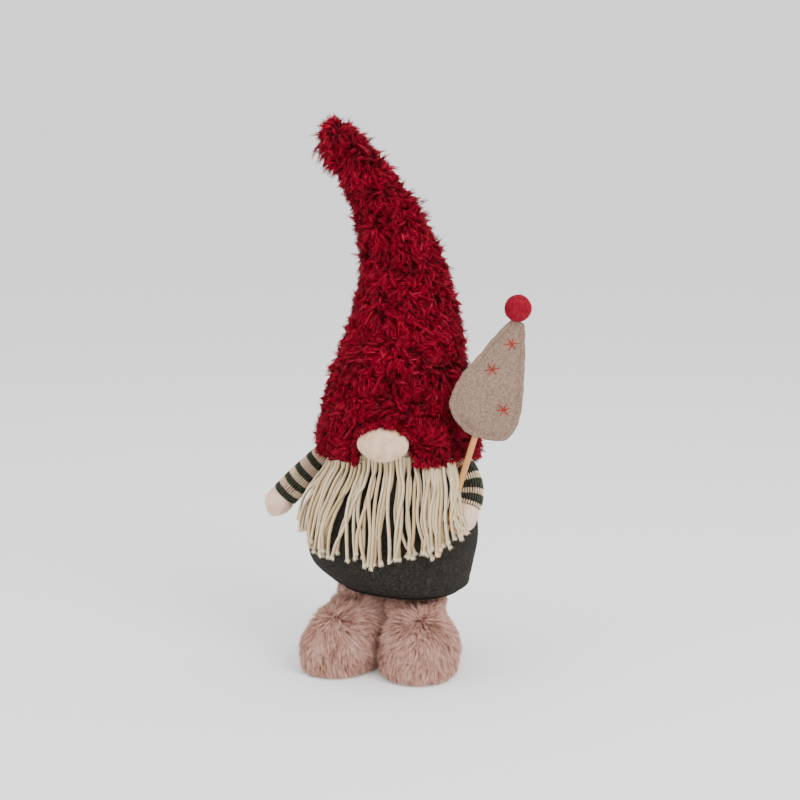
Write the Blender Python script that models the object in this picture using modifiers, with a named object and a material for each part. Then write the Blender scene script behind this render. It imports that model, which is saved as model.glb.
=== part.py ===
"""A standing folk-craft gnome sewn from felt, plush and knit.

The body is a felt sack on two fur boots. A tall plush cone with a wire in it sits
down to the nose. A fringe of cotton cords hangs from a header tape under the brim.
The gnome's left hand holds a padded felt tree on a wooden stick.

Millimetre figures below are multiplied by MM, so the model is in metres, +Z up.
The gnome faces -Y. X = Y = 0 is the middle of the two boots' footprint box after the
ORIGIN shift, and Z = 0 is the surface it stands on.
"""

import math

import bmesh
import bpy
from mathutils import Matrix, Vector

MM = 0.001
GAP = 0.4  # clearance left between neighbouring pieces, mm
MERGE = 0.00005

# shift from the body's own axis to the middle of the whole object's box, mm
ORIGIN_X = -5.3
ORIGIN_Y = 10.93

# ---- body: half-widths of the felt sack by height, top to bottom, mm
BODY_PROFILE = [
    (9.0, 203.0), (24.0, 202.0), (40.0, 198.0), (51.0, 192.0), (56.4, 185.0), (60.5, 178.0),
    (66.0, 168.0), (70.5, 157.0), (74.5, 143.0), (76.8, 128.0), (77.2, 113.0), (75.6, 97.0),
    (71.5, 84.0), (64.5, 73.5), (56.0, 66.5), (47.0, 64.0),
]
BODY_SIDES = 30
FELT = 2.0  # wall of the sack
BELLY_DEPTH = 0.92  # front-to-back over side-to-side, at the belly
LEAN_TOP = 6.0  # the neck sits this far to the gnome's left
LEAN_FOOT = 5.0  # and so does the base

# ---- hat: centreline and fabric radius by height, mm (pile stands proud of this)
HAT_AXIS = [(188, 6.0), (233, 6.4), (270, 9.6), (300, 11.8), (330, 11.6), (352, 8.6), (376, 2.0),
            (395, -5.4), (415, -15.6), (435, -28.0), (452, -40.0), (468, -52.0)]
HAT_RADIUS = [(188, 68.0), (210, 65.5), (233, 61.5), (270, 51.5), (306, 42.5), (342, 33.5),
              (376, 26.5), (411, 19.8), (445, 13.6), (460, 11.0), (468, 8.6)]
HAT_SIDES_RES = 8  # 20 sides
PLUSH = 2.0
BEND_LOW_Z = 300.0  # heights of the two places where the wire is bent
BEND_HIGH_Z = 385.0
WIRE_R = 1.2

# ---- nose
NOSE_C = (8.0, -77.5, 208.5)
NOSE_R = (22.6, 15.0, 16.2)

# ---- beard
HEADER_R = (58.0, 60.0)
FRINGE_LEFT_DEG = -68.0
FRINGE_RIGHT_DEG = 58.0
CORD_LAYER = 3.4

# ---- legs and boots
LEG_X = 27.0
LEG_Y = -2.0
LEG_R = 19.6
SOLE_T = 2.0
# height, centre forward of the ankle, half-width, half-length
BOOT_RINGS = [
    (2.4, 32.0, 26.0, 48.0), (8.0, 31.5, 29.0, 52.0), (22.0, 31.0, 30.0, 53.0), (36.0, 30.0, 28.5, 52.0),
    (46.0, 27.0, 25.8, 49.0), (52.0, 20.5, 24.2, 44.0), (55.8, 10.0, 23.6, 33.5), (58.0, 0.0, 23.2, 23.2),
]
BOOTS = {"left": (1, 8.5, 0.0), "right": (-1, 13.0, -6.0)}  # side, splay deg, reach of the toe

# ---- arms: centreline points and radius, mm
RIGHT_ARM = [(-74.6, -6.0, 168.6, 11.2), (-80.8, -6.6, 162.4, 11.6), (-89.2, -7.4, 153.6, 11.9), (-97.2, -8.2, 145.0, 12.0)]
RIGHT_HAND = [(-98.2, -8.3, 144.0, 12.0), (-102.0, -8.8, 139.6, 12.2), (-105.4, -9.4, 134.6, 11.2), (-107.2, -9.8, 131.2, 9.0), (-108.6, -10.1, 128.4, 5.2)]
LEFT_ARM = [(74.8, -31.6, 170.5, 11.0), (76.4, -34.2, 163.5, 11.4), (76.8, -37.8, 156.0, 11.5), (75.6, -41.2, 149.4, 11.5)]
LEFT_HAND = [(74.9, -42.1, 147.5, 11.5), (73.4, -44.0, 142.6, 11.4), (71.2, -46.0, 137.2, 10.8), (69.2, -47.2, 133.4, 8.8), (67.6, -48.2, 130.2, 5.0)]
KNIT = 1.2

# ---- stick and tree
STICK_TIP = Vector((53.0, -60.5, 108.5))
BALL_C = Vector((114.5, -35.5, 320.5))
STICK_R = 2.75
TREE_FOOT = 109.0  # along the stick from its tip to the foot of the tree
STICK_IN_TREE = 45.0
TREE_TURN_FACE = 12.5  # the tree's face turns this far towards the gnome's left
TREE_OUTLINE = [
    (-5.6, 98.4), (-11.4, 91.6), (-17.7, 76.8), (-21.0, 68.9), (-25.0, 60.4), (-31.4, 44.2), (-34.2, 30.0),
    (-33.2, 19.5), (-27.5, 10.4), (-20.5, 5.0), (-13.0, 0.8), (0.0, -0.6), (12.0, 0.2), (20.6, 3.4), (25.6, 11.0),
    (27.8, 25.0), (25.2, 40.4), (20.6, 60.2), (15.0, 79.9), (8.4, 96.8), (4.0, 100.2), (-2.4, 100.4),
]
TREE_FELT = 1.6
TREE_PUFF = 5.2
STARS = {"upper": (3.0, 84.0), "middle": (-6.3, 57.3), "lower": (13.1, 28.9)}
STAR_R = 5.8
BALL_R = 11.2

COLOURS = {
    "charcoal_felt": ((0.034, 0.034, 0.031), 0.95, 0.0),
    "crimson_plush": ((0.30, 0.006, 0.018), 0.9, 0.0),
    "velour": ((0.74, 0.62, 0.56), 0.85, 0.0),
    "cotton_cord": ((0.72, 0.60, 0.43), 0.85, 0.0),
    "cotton_tape": ((0.65, 0.55, 0.42), 0.9, 0.0),
    "pink_fur": ((0.52, 0.32, 0.26), 0.9, 0.0),
    "knit": ((0.20, 0.17, 0.13), 0.9, 0.0),
    "fleece": ((0.76, 0.60, 0.56), 0.9, 0.0),
    "filling": ((0.85, 0.85, 0.83), 0.95, 0.0),
    "pellets": ((0.75, 0.75, 0.72), 0.6, 0.0),
    "sole_felt": ((0.36, 0.22, 0.18), 0.95, 0.0),
    "steel_wire": ((0.35, 0.35, 0.36), 0.4, 0.9),
    "beige_felt": ((0.40, 0.34, 0.29), 0.95, 0.0),
    "red_thread": ((0.50, 0.02, 0.02), 0.6, 0.0),
    "beige_thread": ((0.34, 0.28, 0.23), 0.7, 0.0),
    "red_felt": ((0.50, 0.015, 0.03), 0.95, 0.0),
    "birch": ((0.62, 0.38, 0.18), 0.55, 0.0),
}

# ------------------------------------------------------------------ scene set-up

for old in list(bpy.data.objects):
    bpy.data.objects.remove(old, do_unlink=True)

PARTS = bpy.data.collections.new("tomte_gnome")
CUTTERS = bpy.data.collections.new("cutters")
bpy.context.scene.collection.children.link(PARTS)
bpy.context.scene.collection.children.link(CUTTERS)


def material(name):
    """The named finish, made once."""
    found = bpy.data.materials.get(name)
    if found:
        return found
    colour, rough, metal = COLOURS[name]
    mat = bpy.data.materials.new(name)
    mat.use_nodes = True
    shader = mat.node_tree.nodes["Principled BSDF"]
    shader.inputs["Base Color"].default_value = (*colour, 1.0)
    shader.inputs["Roughness"].default_value = rough
    shader.inputs["Metallic"].default_value = metal
    return mat


def pivot(name, point, parent=None):
    """An empty on a joint's axis, at a point in mm."""
    empty = bpy.data.objects.new(name, None)
    empty.empty_display_size = 0.02
    empty.location = Vector(point) * MM
    PARTS.objects.link(empty)
    bpy.context.view_layer.update()
    if parent:
        empty.parent = parent
        empty.matrix_parent_inverse = parent.matrix_world.inverted()
    bpy.context.view_layer.update()
    return empty


def piece(name, mesh, finish, parent, matrix=None):
    """A named part from mesh data, in the finish given, held by its parent empty."""
    mesh.name = name
    obj = bpy.data.objects.new(name, mesh)
    obj.data.materials.clear()
    obj.data.materials.append(material(finish))
    if matrix is not None:
        obj.matrix_world = matrix
    PARTS.objects.link(obj)
    obj.parent = parent
    obj.matrix_parent_inverse = parent.matrix_world.inverted()
    mesh.shade_smooth()
    mesh.set_sharp_from_angle(angle=math.radians(40))
    return obj


def cutter(name, mesh, matrix=None):
    """A solid used only to cut others. It is held by the root, and moves with it."""
    obj = bpy.data.objects.new(name, mesh)
    if matrix is not None:
        obj.matrix_world = matrix
    obj.hide_render = True
    obj.display_type = "WIRE"
    CUTTERS.objects.link(obj)
    obj.parent = root
    return obj


def cut(obj, tool):
    mod = obj.modifiers.new("cut_" + tool.name, "BOOLEAN")
    mod.operation = "DIFFERENCE"
    mod.solver = "EXACT"
    mod.object = tool


def wall(obj, thickness):
    """Turns the open outer surface into a shell, its wall inside the surface."""
    mod = obj.modifiers.new("wall", "SOLIDIFY")
    mod.thickness = thickness * MM
    mod.offset = -1.0
    mod.use_even_offset = True
    return mod


def interp(table, z):
    """Smooth value at z from a table of (z, value), by Catmull-Rom between its rows."""
    if z <= table[0][0]:
        return table[0][1] + (z - table[0][0]) * (table[1][1] - table[0][1]) / (table[1][0] - table[0][0])
    for i in range(len(table) - 1):
        z0, v0 = table[i]
        z1, v1 = table[i + 1]
        if z <= z1:
            break
    else:
        z0, v0 = table[-2]
        z1, v1 = table[-1]
        return v1 + (z - z1) * (v1 - v0) / (z1 - z0)
    before = table[i - 1] if i else (z0 - (z1 - z0), v0 - (v1 - v0))
    after = table[i + 2] if i + 2 < len(table) else (z1 + (z1 - z0), v1 + (v1 - v0))
    m0 = (v1 - before[1]) / (z1 - before[0]) * (z1 - z0)
    m1 = (after[1] - v0) / (after[0] - z0) * (z1 - z0)
    t = (z - z0) / (z1 - z0)
    return ((2 * t**3 - 3 * t**2 + 1) * v0 + (t**3 - 2 * t**2 + t) * m0
            + (-2 * t**3 + 3 * t**2) * v1 + (t**3 - t**2) * m1)


def smooth(t):
    t = max(0.0, min(1.0, t))
    return t * t * (3 - 2 * t)


# ------------------------------------------------------------------ shape makers


def turned(profile, steps):
    """A turned surface: (radius, height) in mm, running down the outer side."""
    mesh = bpy.data.meshes.new("profile")
    mesh.from_pydata([(r * MM, 0.0, z * MM) for r, z in profile],
                     [(i, i + 1) for i in range(len(profile) - 1)], [])
    obj = bpy.data.objects.new("profile", mesh)
    bpy.context.scene.collection.objects.link(obj)
    screw = obj.modifiers.new("turn", "SCREW")
    screw.axis = "Z"
    screw.steps = steps
    screw.render_steps = steps
    screw.use_merge_vertices = True
    screw.merge_threshold = MERGE
    screw.use_smooth_shade = True
    return taken(obj)


def taken(obj):
    """The evaluated mesh of a helper object, which is then removed."""
    bpy.context.view_layer.update()
    graph = bpy.context.evaluated_depsgraph_get()
    mesh = bpy.data.meshes.new_from_object(obj.evaluated_get(graph))
    data = obj.data
    bpy.data.objects.remove(obj, do_unlink=True)
    if isinstance(data, bpy.types.Mesh):
        bpy.data.meshes.remove(data)
    else:
        bpy.data.curves.remove(data)
    work = bmesh.new()
    work.from_mesh(mesh)
    bmesh.ops.remove_doubles(work, verts=work.verts, dist=MERGE)
    work.to_mesh(mesh)
    work.free()
    return mesh


def tube(points, radii, res, caps, cyclic=False):
    """A round tube along points in mm, with its own radius at each point."""
    curve = bpy.data.curves.new("tube", "CURVE")
    curve.dimensions = "3D"
    curve.resolution_u = 1
    curve.render_resolution_u = 0
    curve.bevel_depth = MM
    curve.bevel_resolution = res
    curve.use_fill_caps = caps
    line = curve.splines.new("POLY")
    line.points.add(len(points) - 1)
    line.use_cyclic_u = cyclic
    for at, point, radius in zip(line.points, points, radii):
        at.co = (point[0] * MM, point[1] * MM, point[2] * MM, 1.0)
        at.radius = radius
    obj = bpy.data.objects.new("tube", curve)
    bpy.context.scene.collection.objects.link(obj)
    return taken(obj)


def prism(outline, z0, z1):
    """A flat outline in mm, filled and given thickness from z0 to z1."""
    curve = bpy.data.curves.new("outline", "CURVE")
    curve.dimensions = "2D"
    curve.fill_mode = "BOTH"
    curve.resolution_u = 1
    curve.render_resolution_u = 0
    curve.extrude = (z1 - z0) / 2 * MM
    line = curve.splines.new("POLY")
    line.points.add(len(outline) - 1)
    line.use_cyclic_u = True
    for at, (x, y) in zip(line.points, outline):
        at.co = (x * MM, y * MM, 0.0, 1.0)
    obj = bpy.data.objects.new("outline", curve)
    obj.location = (0.0, 0.0, 0.0)
    bpy.context.scene.collection.objects.link(obj)
    mesh = taken(obj)
    mesh.transform(Matrix.Translation((0, 0, (z0 + z1) / 2 * MM)))
    return mesh


def loft(rings, close_start, close_end):
    """Skin between unlike rings of equal count, each a list of points in mm."""
    work = bmesh.new()
    rows = [[work.verts.new(Vector(p) * MM) for p in ring] for ring in rings]
    n = len(rows[0])
    for low, high in zip(rows, rows[1:]):
        for i in range(n):
            j = (i + 1) % n
            work.faces.new((low[i], low[j], high[j], high[i]))
    if close_start:
        work.faces.new(list(reversed(rows[0])))
    if close_end:
        work.faces.new(rows[-1])
    mesh = bpy.data.meshes.new("loft")
    work.to_mesh(mesh)
    work.free()
    return mesh


def ball(radii, centre, segments, rings, pole="Z"):
    """An egg or ball from a UV sphere, its poles on the axis named."""
    work = bmesh.new()
    bmesh.ops.create_uvsphere(work, u_segments=segments, v_segments=rings, radius=1.0)
    if pole == "Y":
        bmesh.ops.rotate(work, verts=work.verts, matrix=Matrix.Rotation(math.radians(90), 3, "X"))
    bmesh.ops.scale(work, verts=work.verts, vec=Vector(radii) * MM)
    bmesh.ops.translate(work, verts=work.verts, vec=Vector(centre) * MM)
    return work


def to_mesh(work, name="made"):
    mesh = bpy.data.meshes.new(name)
    work.to_mesh(mesh)
    work.free()
    return mesh


def body_lean(z):
    return LEAN_TOP * smooth((z - 140) / 45) + LEAN_FOOT * smooth((97 - z) / 30)


def body_depth(z):
    return BELLY_DEPTH + (0.985 - BELLY_DEPTH) * smooth((z - 140) / 45)


BODY_BY_Z = sorted((z, r) for r, z in BODY_PROFILE)


def body_radius(z):
    return interp(BODY_BY_Z, z)


def sway(mesh):
    """Makes a round turned body oval, and leans its neck and base."""
    for v in mesh.vertices:
        z = v.co.z / MM
        v.co.y *= body_depth(z)
        v.co.x += body_lean(z) * MM


def hat_axis(z):
    return interp(HAT_AXIS, z)


def hat_radius(z):
    return interp(HAT_RADIUS, z)


def hat_stretch(z0, z1, count, less=0.0):
    """Points and radii along the hat's centreline between two heights."""
    zs = [z0 + (z1 - z0) * i / (count - 1) for i in range(count)]
    return [(hat_axis(z), 0.0, z) for z in zs], [hat_radius(z) - less for z in zs]


def oval(cx, cy, rx, ry, z, count=20, power=2.3):
    """A superellipse ring in mm."""
    ring = []
    for i in range(count):
        a = 2 * math.pi * i / count
        c, s = math.cos(a), math.sin(a)
        ring.append((cx + rx * math.copysign(abs(c) ** (2 / power), c),
                     cy + ry * math.copysign(abs(s) ** (2 / power), s), z))
    return ring


# ------------------------------------------------------------------ the bodies' empties

root = pivot("gnome_root", (0, 0, 0))
low_bend = (hat_axis(BEND_LOW_Z), 0.0, BEND_LOW_Z)
high_bend = (hat_axis(BEND_HIGH_Z), 0.0, BEND_HIGH_Z)
hat_mid = pivot("hat_mid_pivot", low_bend, root)
hat_tip = pivot("hat_tip_pivot", high_bend, hat_mid)
right_shoulder = pivot("right_arm_pivot", RIGHT_ARM[0][:3], root)
left_shoulder = pivot("left_arm_pivot", LEFT_ARM[0][:3], root)
stick_axis = (BALL_C - STICK_TIP).normalized()
TIE_AT = STICK_TIP + stick_axis * 31.0
stick_pivot = pivot("stick_pivot", TIE_AT, left_shoulder)
tree_foot = STICK_TIP + stick_axis * TREE_FOOT
tree_pivot = pivot("tree_pivot", tree_foot, stick_pivot)

# ------------------------------------------------------------------ body

side = turned(BODY_PROFILE, BODY_SIDES)
sway(side)
wall(piece("body_side_felt", side, "charcoal_felt", root), FELT)

base = [(46.2 * math.cos(2 * math.pi * i / 36), 46.2 * math.sin(2 * math.pi * i / 36) * BELLY_DEPTH) for i in range(36)]
base_mesh = prism([(x + LEAN_FOOT, y) for x, y in base], 63.2, 65.0)
piece("body_base_felt", base_mesh, "charcoal_felt", root)

fill = [(0.0, 199.4), (38.0, 194.0)] + [(r - FELT - 1.0, z) for r, z in BODY_PROFILE[4:11]] + [(70.6, 92.0), (66.0, 84.6), (0.0, 84.6)]
fill_mesh = turned(fill, BODY_SIDES)
sway(fill_mesh)
piece("body_stuffing", fill_mesh, "filling", root)

bag = turned([(0.0, 83.4), (58.0, 82.6), (63.5, 79.5), (60.5, 75.0), (50.0, 70.2), (36.0, 67.6), (0.0, 67.0)], 28)
sway(bag)
piece("body_pellet_bag", bag, "pellets", root)

# ------------------------------------------------------------------ hat

nose_notch = ball((NOSE_R[0] + 1.6, 30.0, NOSE_R[2] + 2.2), (NOSE_C[0], NOSE_C[1] + 8.0, NOSE_C[2]), 20, 10, "Y")
notch_tool = cutter("nose_notch", to_mesh(nose_notch))
slot = bmesh.new()
bmesh.ops.create_cube(slot, size=1.0)
bmesh.ops.scale(slot, verts=slot.verts, vec=Vector((2 * NOSE_R[0] + 2.6, 40.0, 26.0)) * MM)
bmesh.ops.translate(slot, verts=slot.verts, vec=Vector((NOSE_C[0], NOSE_C[1] + 8.0, NOSE_C[2] - 13.0)) * MM)
slot_tool = cutter("brim_slot", to_mesh(slot))

low_top = BEND_LOW_Z - 20.0
points, radii = hat_stretch(188.0, low_top, 7)
low_plush = piece("hat_lower_plush", tube(points, radii, HAT_SIDES_RES, False), "crimson_plush", root)
wall(low_plush, PLUSH)
cut(low_plush, notch_tool)
cut(low_plush, slot_tool)

mid_bottom, mid_top = BEND_LOW_Z - 14.0, BEND_HIGH_Z - 14.0
points, radii = hat_stretch(mid_bottom, mid_top, 6)
wall(piece("hat_middle_plush", tube(points, radii, HAT_SIDES_RES, False), "crimson_plush", hat_mid), PLUSH)

tip_bottom = BEND_HIGH_Z - 8.0
points, radii = hat_stretch(tip_bottom, 468.0, 7)
last = Vector(points[-1])
ahead = (last - Vector(points[-2])).normalized()
for step, radius in ((2.6, 7.6), (4.8, 5.4), (6.0, 2.6)):
    points.append(tuple(last + ahead * step))
    radii.append(radius)
wall(piece("hat_tip_plush", tube(points, radii, HAT_SIDES_RES, False), "crimson_plush", hat_tip), 1.6)


def wire_bore(name, z0, z1, flare_at=None):
    """A round way along the hat's centreline, flared round a bend."""
    points, radii = hat_stretch(z0, z1, 8)
    tool = cutter(name, tube(points, [WIRE_R + 0.7] * 8, 2, True))
    return tool


less = PLUSH + 1.8
points, radii = hat_stretch(206.0, BEND_LOW_Z - 33.0, 5, less)
low_fill = piece("hat_lower_stuffing", tube(points, radii, 6, True), "filling", root)
cut(low_fill, wire_bore("bore_low", 200.0, BEND_LOW_Z - 25.0))

points, radii = hat_stretch(mid_bottom + 0.4, mid_top - 12.0, 5, less)
mid_fill = piece("hat_middle_stuffing", tube(points, radii, 6, True), "filling", hat_mid)
cut(mid_fill, wire_bore("bore_mid", mid_bottom - 6.0, mid_top))
cone = bmesh.new()
bmesh.ops.create_cone(cone, cap_ends=True, segments=16, radius1=12.0 * MM, radius2=1.0 * MM, depth=22.0 * MM)
bmesh.ops.translate(cone, verts=cone.verts, vec=Vector((low_bend[0], 0.0, BEND_LOW_Z - 7.0)) * MM)
cut(mid_fill, cutter("bend_room_low", to_mesh(cone)))

points, radii = hat_stretch(tip_bottom + 0.4, 461.0, 6, 1.6 + 1.2)
tip_fill = piece("hat_tip_stuffing", tube(points, radii, 6, True), "filling", hat_tip)
cut(tip_fill, wire_bore("bore_tip", tip_bottom - 6.0, 456.0))
cone = bmesh.new()
bmesh.ops.create_cone(cone, cap_ends=True, segments=16, radius1=9.0 * MM, radius2=1.0 * MM, depth=16.0 * MM)
tilt = (Vector((hat_axis(BEND_HIGH_Z + 4), 0, BEND_HIGH_Z + 4)) - Vector((hat_axis(BEND_HIGH_Z - 4), 0, BEND_HIGH_Z - 4))).to_track_quat("Z", "Y")
bmesh.ops.rotate(cone, verts=cone.verts, matrix=tilt.to_matrix())
bmesh.ops.translate(cone, verts=cone.verts, vec=(Vector(high_bend) + tilt @ Vector((0, 0, -4.5))) * MM)
cut(tip_fill, cutter("bend_room_high", to_mesh(cone)))

for name, z0, z1, count, holder in (
    ("hat_wire_lower", 207.0, BEND_LOW_Z - 1.6, 4, root),
    ("hat_wire_middle", BEND_LOW_Z + 1.6, BEND_HIGH_Z - 1.6, 7, hat_mid),
    ("hat_wire_tip", BEND_HIGH_Z + 1.6, 453.0, 7, hat_tip),
):
    points, radii = hat_stretch(z0, z1, count)
    piece(name, tube(points, [WIRE_R] * count, 1, True), "steel_wire", holder)

# ------------------------------------------------------------------ nose

skin = ball(NOSE_R, NOSE_C, 18, 10, "Y")
back = [f for f in skin.faces if f.calc_center_median().y > (NOSE_C[1] + NOSE_R[1] * 0.93) * MM]
bmesh.ops.delete(skin, geom=back, context="FACES")
loose = [v for v in skin.verts if not v.link_faces]
bmesh.ops.delete(skin, geom=loose, context="VERTS")
wall(piece("nose_cover", to_mesh(skin), "velour", root), 1.2)
core = ball([r - 1.8 for r in NOSE_R], NOSE_C, 16, 10, "Y")
piece("nose_filling", to_mesh(core), "filling", root)

# ------------------------------------------------------------------ beard


def arc(radius, deg, z, centre=LEAN_TOP):
    a = math.radians(deg)
    return (centre + radius * math.sin(a), -radius * math.cos(a), z)


tape = bmesh.new()
rows = []
for z in (187.5, 198.0):
    rows.append([tape.verts.new(Vector(arc(HEADER_R[1], -70.0 + 130.0 * i / 20, z)) * MM) for i in range(21)])
for i in range(20):
    tape.faces.new((rows[0][i], rows[0][i + 1], rows[1][i + 1], rows[1][i]))
header = piece("beard_header_tape", to_mesh(tape), "cotton_tape", root)
wall(header, HEADER_R[1] - HEADER_R[0] - 0.2)

FRINGE_FOOT = [(0.0, 124.0), (0.08, 116.0), (0.2, 108.0), (0.45, 102.0), (0.58, 102.0), (0.72, 107.0), (0.84, 111.0), (0.93, 117.0), (1.0, 126.0)]
FRINGE_FOOT_DEG = [(0.0, -73.0), (0.25, -42.0), (0.5, -3.0), (0.75, 27.0), (1.0, 47.0)]


def fringe_point(u, t):
    """Inner face of the cord layer: u across from the gnome's right, t from the tape down."""
    z = 194.0 + (interp(FRINGE_FOOT, u) - 194.0) * t
    top = FRINGE_LEFT_DEG + (FRINGE_RIGHT_DEG - FRINGE_LEFT_DEG) * u
    deg = top + (interp(FRINGE_FOOT_DEG, u) - top) * smooth(t * 1.05)
    a = math.radians(deg)
    r, depth, lean = body_radius(z), body_depth(z), body_lean(z)
    skin = 1.0 / math.hypot(math.sin(a) / (r + 1.8), math.cos(a) / (r * depth + 1.8))
    skin = max(skin, 60.4 - 0.22 * max(0.0, 186.0 - z))
    x, y = lean + skin * math.sin(a), -skin * math.cos(a)
    # over the hand and the stick the cords are pushed forward
    over = smooth((x - 22) / 26) * smooth((188 - z) / 22)
    front = -58.6 - 9.6 * smooth((168 - z) / 32)
    y = y + min(0.0, front - y) * over
    x = x + 9.0 * over * smooth((u - 0.75) / 0.25)
    if u < 0.2:
        x -= 5.0 * smooth((0.2 - u) / 0.2) * smooth(t)
    return (x, y, z)


fringe = bmesh.new()
COLS, ROWS = 22, 9
grid = [[fringe.verts.new(Vector(fringe_point(i / (COLS - 1), (j / (ROWS - 1)) ** 1.15)) * MM) for i in range(COLS)] for j in range(ROWS)]
for j in range(ROWS - 1):
    for i in range(COLS - 1):
        fringe.faces.new((grid[j][i], grid[j + 1][i], grid[j + 1][i + 1], grid[j][i + 1]))
beard = piece("beard_fringe", to_mesh(fringe), "cotton_cord", root)
layer = wall(beard, CORD_LAYER)
layer.offset = 1.0

# ------------------------------------------------------------------ legs and boots

for which, (sign, splay, reach) in BOOTS.items():
    hip = Vector((sign * LEG_X, LEG_Y, 0.0))
    turn = Matrix.Translation(hip * MM) @ Matrix.Rotation(math.radians(splay * sign), 4, "Z")
    stretch = 1.0 + reach / 85.0

    def boot_ring(z, fore, rx, ry, less=0.0):
        return oval(0.0, -fore * stretch, rx - less, ry * (1 + (stretch - 1) * 0.5) - less, z)

    upper = loft([boot_ring(*ring) for ring in BOOT_RINGS], False, False)
    wall(piece(which + "_boot_upper", upper, "pink_fur", root, turn), 2.0)
    z0, fore, rx, ry = BOOT_RINGS[0]
    sole = prism([p[:2] for p in boot_ring(z0, fore, rx - 1.0, ry - 1.0)], 0.0, SOLE_T)
    piece(which + "_boot_sole", sole, "sole_felt", root, turn)
    inner = [(13.6, 31.3, 29.3, 52.0)] + BOOT_RINGS[2:4] + [(44.0, 27.5, 24.0, 46.0), (48.6, 21.0, 20.0, 38.0)]
    rings = [boot_ring(*ring, less=2.9) for ring in inner]
    fill = loft(rings, True, True)
    piece(which + "_boot_stuffing", fill, "filling", root, turn)
    pouch = loft([boot_ring(2.8, 32.0, 21.0, 43.0), boot_ring(5.0, 32.0, 24.0, 46.0),
                  boot_ring(11.0, 32.0, 24.6, 46.6), boot_ring(13.0, 32.0, 22.0, 44.0)], True, True)
    piece(which + "_boot_ballast", pouch, "pellets", root, turn)
    leg = tube([(hip.x, hip.y, z) for z in (54.8, 57.5, 60.0, 62.7)], [LEG_R] * 4, 6, False)
    wall(piece(which + "_leg_fur", leg, "pink_fur", root), 1.8)
    core = tube([(hip.x, hip.y, z) for z in (54.8, 62.5)], [LEG_R - 2.3] * 2, 6, True)
    piece(which + "_leg_stuffing", core, "filling", root)

# ------------------------------------------------------------------ arms


def arm(which, sleeve, hand, holder):
    """Knit sleeve open at the wrist, fleece mitten open at the wrist, and one core."""
    root_point = Vector(sleeve[0][:3])
    along = (Vector(sleeve[1][:3]) - root_point).normalized()
    r0 = sleeve[0][3]
    # the shoulder end is a half ball about the shoulder, so it can swing beside the body
    start = [(*(root_point - along * r0 * math.sin(math.radians(a))), r0 * math.cos(math.radians(a))) for a in (78, 55, 30)]
    rows = start + list(sleeve)
    knit = tube([r[:3] for r in rows], [r[3] for r in rows], 4, False)
    wall(piece(which + "_sleeve", knit, "knit", holder), KNIT)
    mitt = tube([r[:3] for r in hand], [r[3] for r in hand], 4, False)
    work = bmesh.new()
    work.from_mesh(mitt)
    tip = Vector(hand[-1][:3]) * MM
    open_edges = [e for e in work.edges if e.is_boundary and (e.verts[0].co - tip).length < 7 * MM]
    bmesh.ops.edgeloop_fill(work, edges=open_edges)
    work.to_mesh(mitt)
    work.free()
    wall(piece(which + "_hand", mitt, "fleece", holder), KNIT)
    rows = start[2:] + list(sleeve) + list(hand[1:3])
    core = tube([r[:3] for r in rows], [r[3] - KNIT - 1.0 for r in rows], 4, True)
    piece(which + "_arm_stuffing", core, "filling", holder)


arm("right", RIGHT_ARM, RIGHT_HAND, right_shoulder)
arm("left", LEFT_ARM, LEFT_HAND, left_shoulder)

# thread that ties the stick to the left hand
ring = [tuple(TIE_AT + stick_axis.to_track_quat("Z", "Y") @ Vector((3.7 * math.cos(a), 3.7 * math.sin(a), 0.0)))
        for a in [2 * math.pi * i / 18 for i in range(18)]]
piece("hand_tie_thread", tube(ring, [0.5] * 18, 1, False, cyclic=True), "beige_thread", left_shoulder)

# ------------------------------------------------------------------ stick

stick_end = tree_foot + stick_axis * STICK_IN_TREE
stick_mesh = tube([tuple(STICK_TIP), tuple(STICK_TIP + stick_axis * 0.6), tuple(stick_end - stick_axis * 0.6), tuple(stick_end)],
                  [STICK_R - 0.5, STICK_R, STICK_R, STICK_R - 0.5], 4, True)
piece("tree_stick", stick_mesh, "birch", stick_pivot)

# ------------------------------------------------------------------ felt tree

# the tree's own frame: X across, Y away from the face, Z up the stick
face = Vector((math.sin(math.radians(TREE_TURN_FACE)), -math.cos(math.radians(TREE_TURN_FACE)), 0.0))
across = stick_axis.cross(face).normalized() * -1.0
across = (-across if across.x < 0 else across)
out = across.cross(stick_axis).normalized()
out = out if out.dot(face) > 0 else -out
frame = Matrix((across, -out, stick_axis)).transposed().to_4x4()
if frame.determinant() < 0:
    frame = Matrix((across, out, stick_axis)).transposed().to_4x4()
frame.translation = tree_foot * MM

TREE_MID = (-3.0, 40.0)
OUTLINE = []
for k in range(len(TREE_OUTLINE)):
    p0, p1, p2, p3 = (Vector(TREE_OUTLINE[(k + j) % len(TREE_OUTLINE)]) for j in (-1, 0, 1, 2))
    for t in (0.0,):
        OUTLINE.append(0.5 * ((2 * p1) + (p2 - p0) * t + (2 * p0 - 5 * p1 + 4 * p2 - p3) * t * t + (3 * p1 - p0 - 3 * p2 + p3) * t**3))


def tree_ring(f, depth, count=None):
    """The outline drawn in towards the spine of the tree by 1 - f, at a depth."""
    ring = []
    for p in OUTLINE:
        spine = Vector((TREE_MID[0] * (1 - p.y / 120), min(86.0, max(20.0, p.y))))
        q = spine + (p - spine) * f
        ring.append((q.x, depth, q.y))
    return ring


PUFF = [(1.0, 0.25), (0.93, 1.7), (0.8, 3.3), (0.58, 4.5), (0.3, 5.0)]


def tree_skin(sign):
    rings = [tree_ring(f, sign * h) for f, h in PUFF]
    if sign > 0:
        rings = [list(reversed(r)) for r in rings]
    return loft(rings, False, True)


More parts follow.
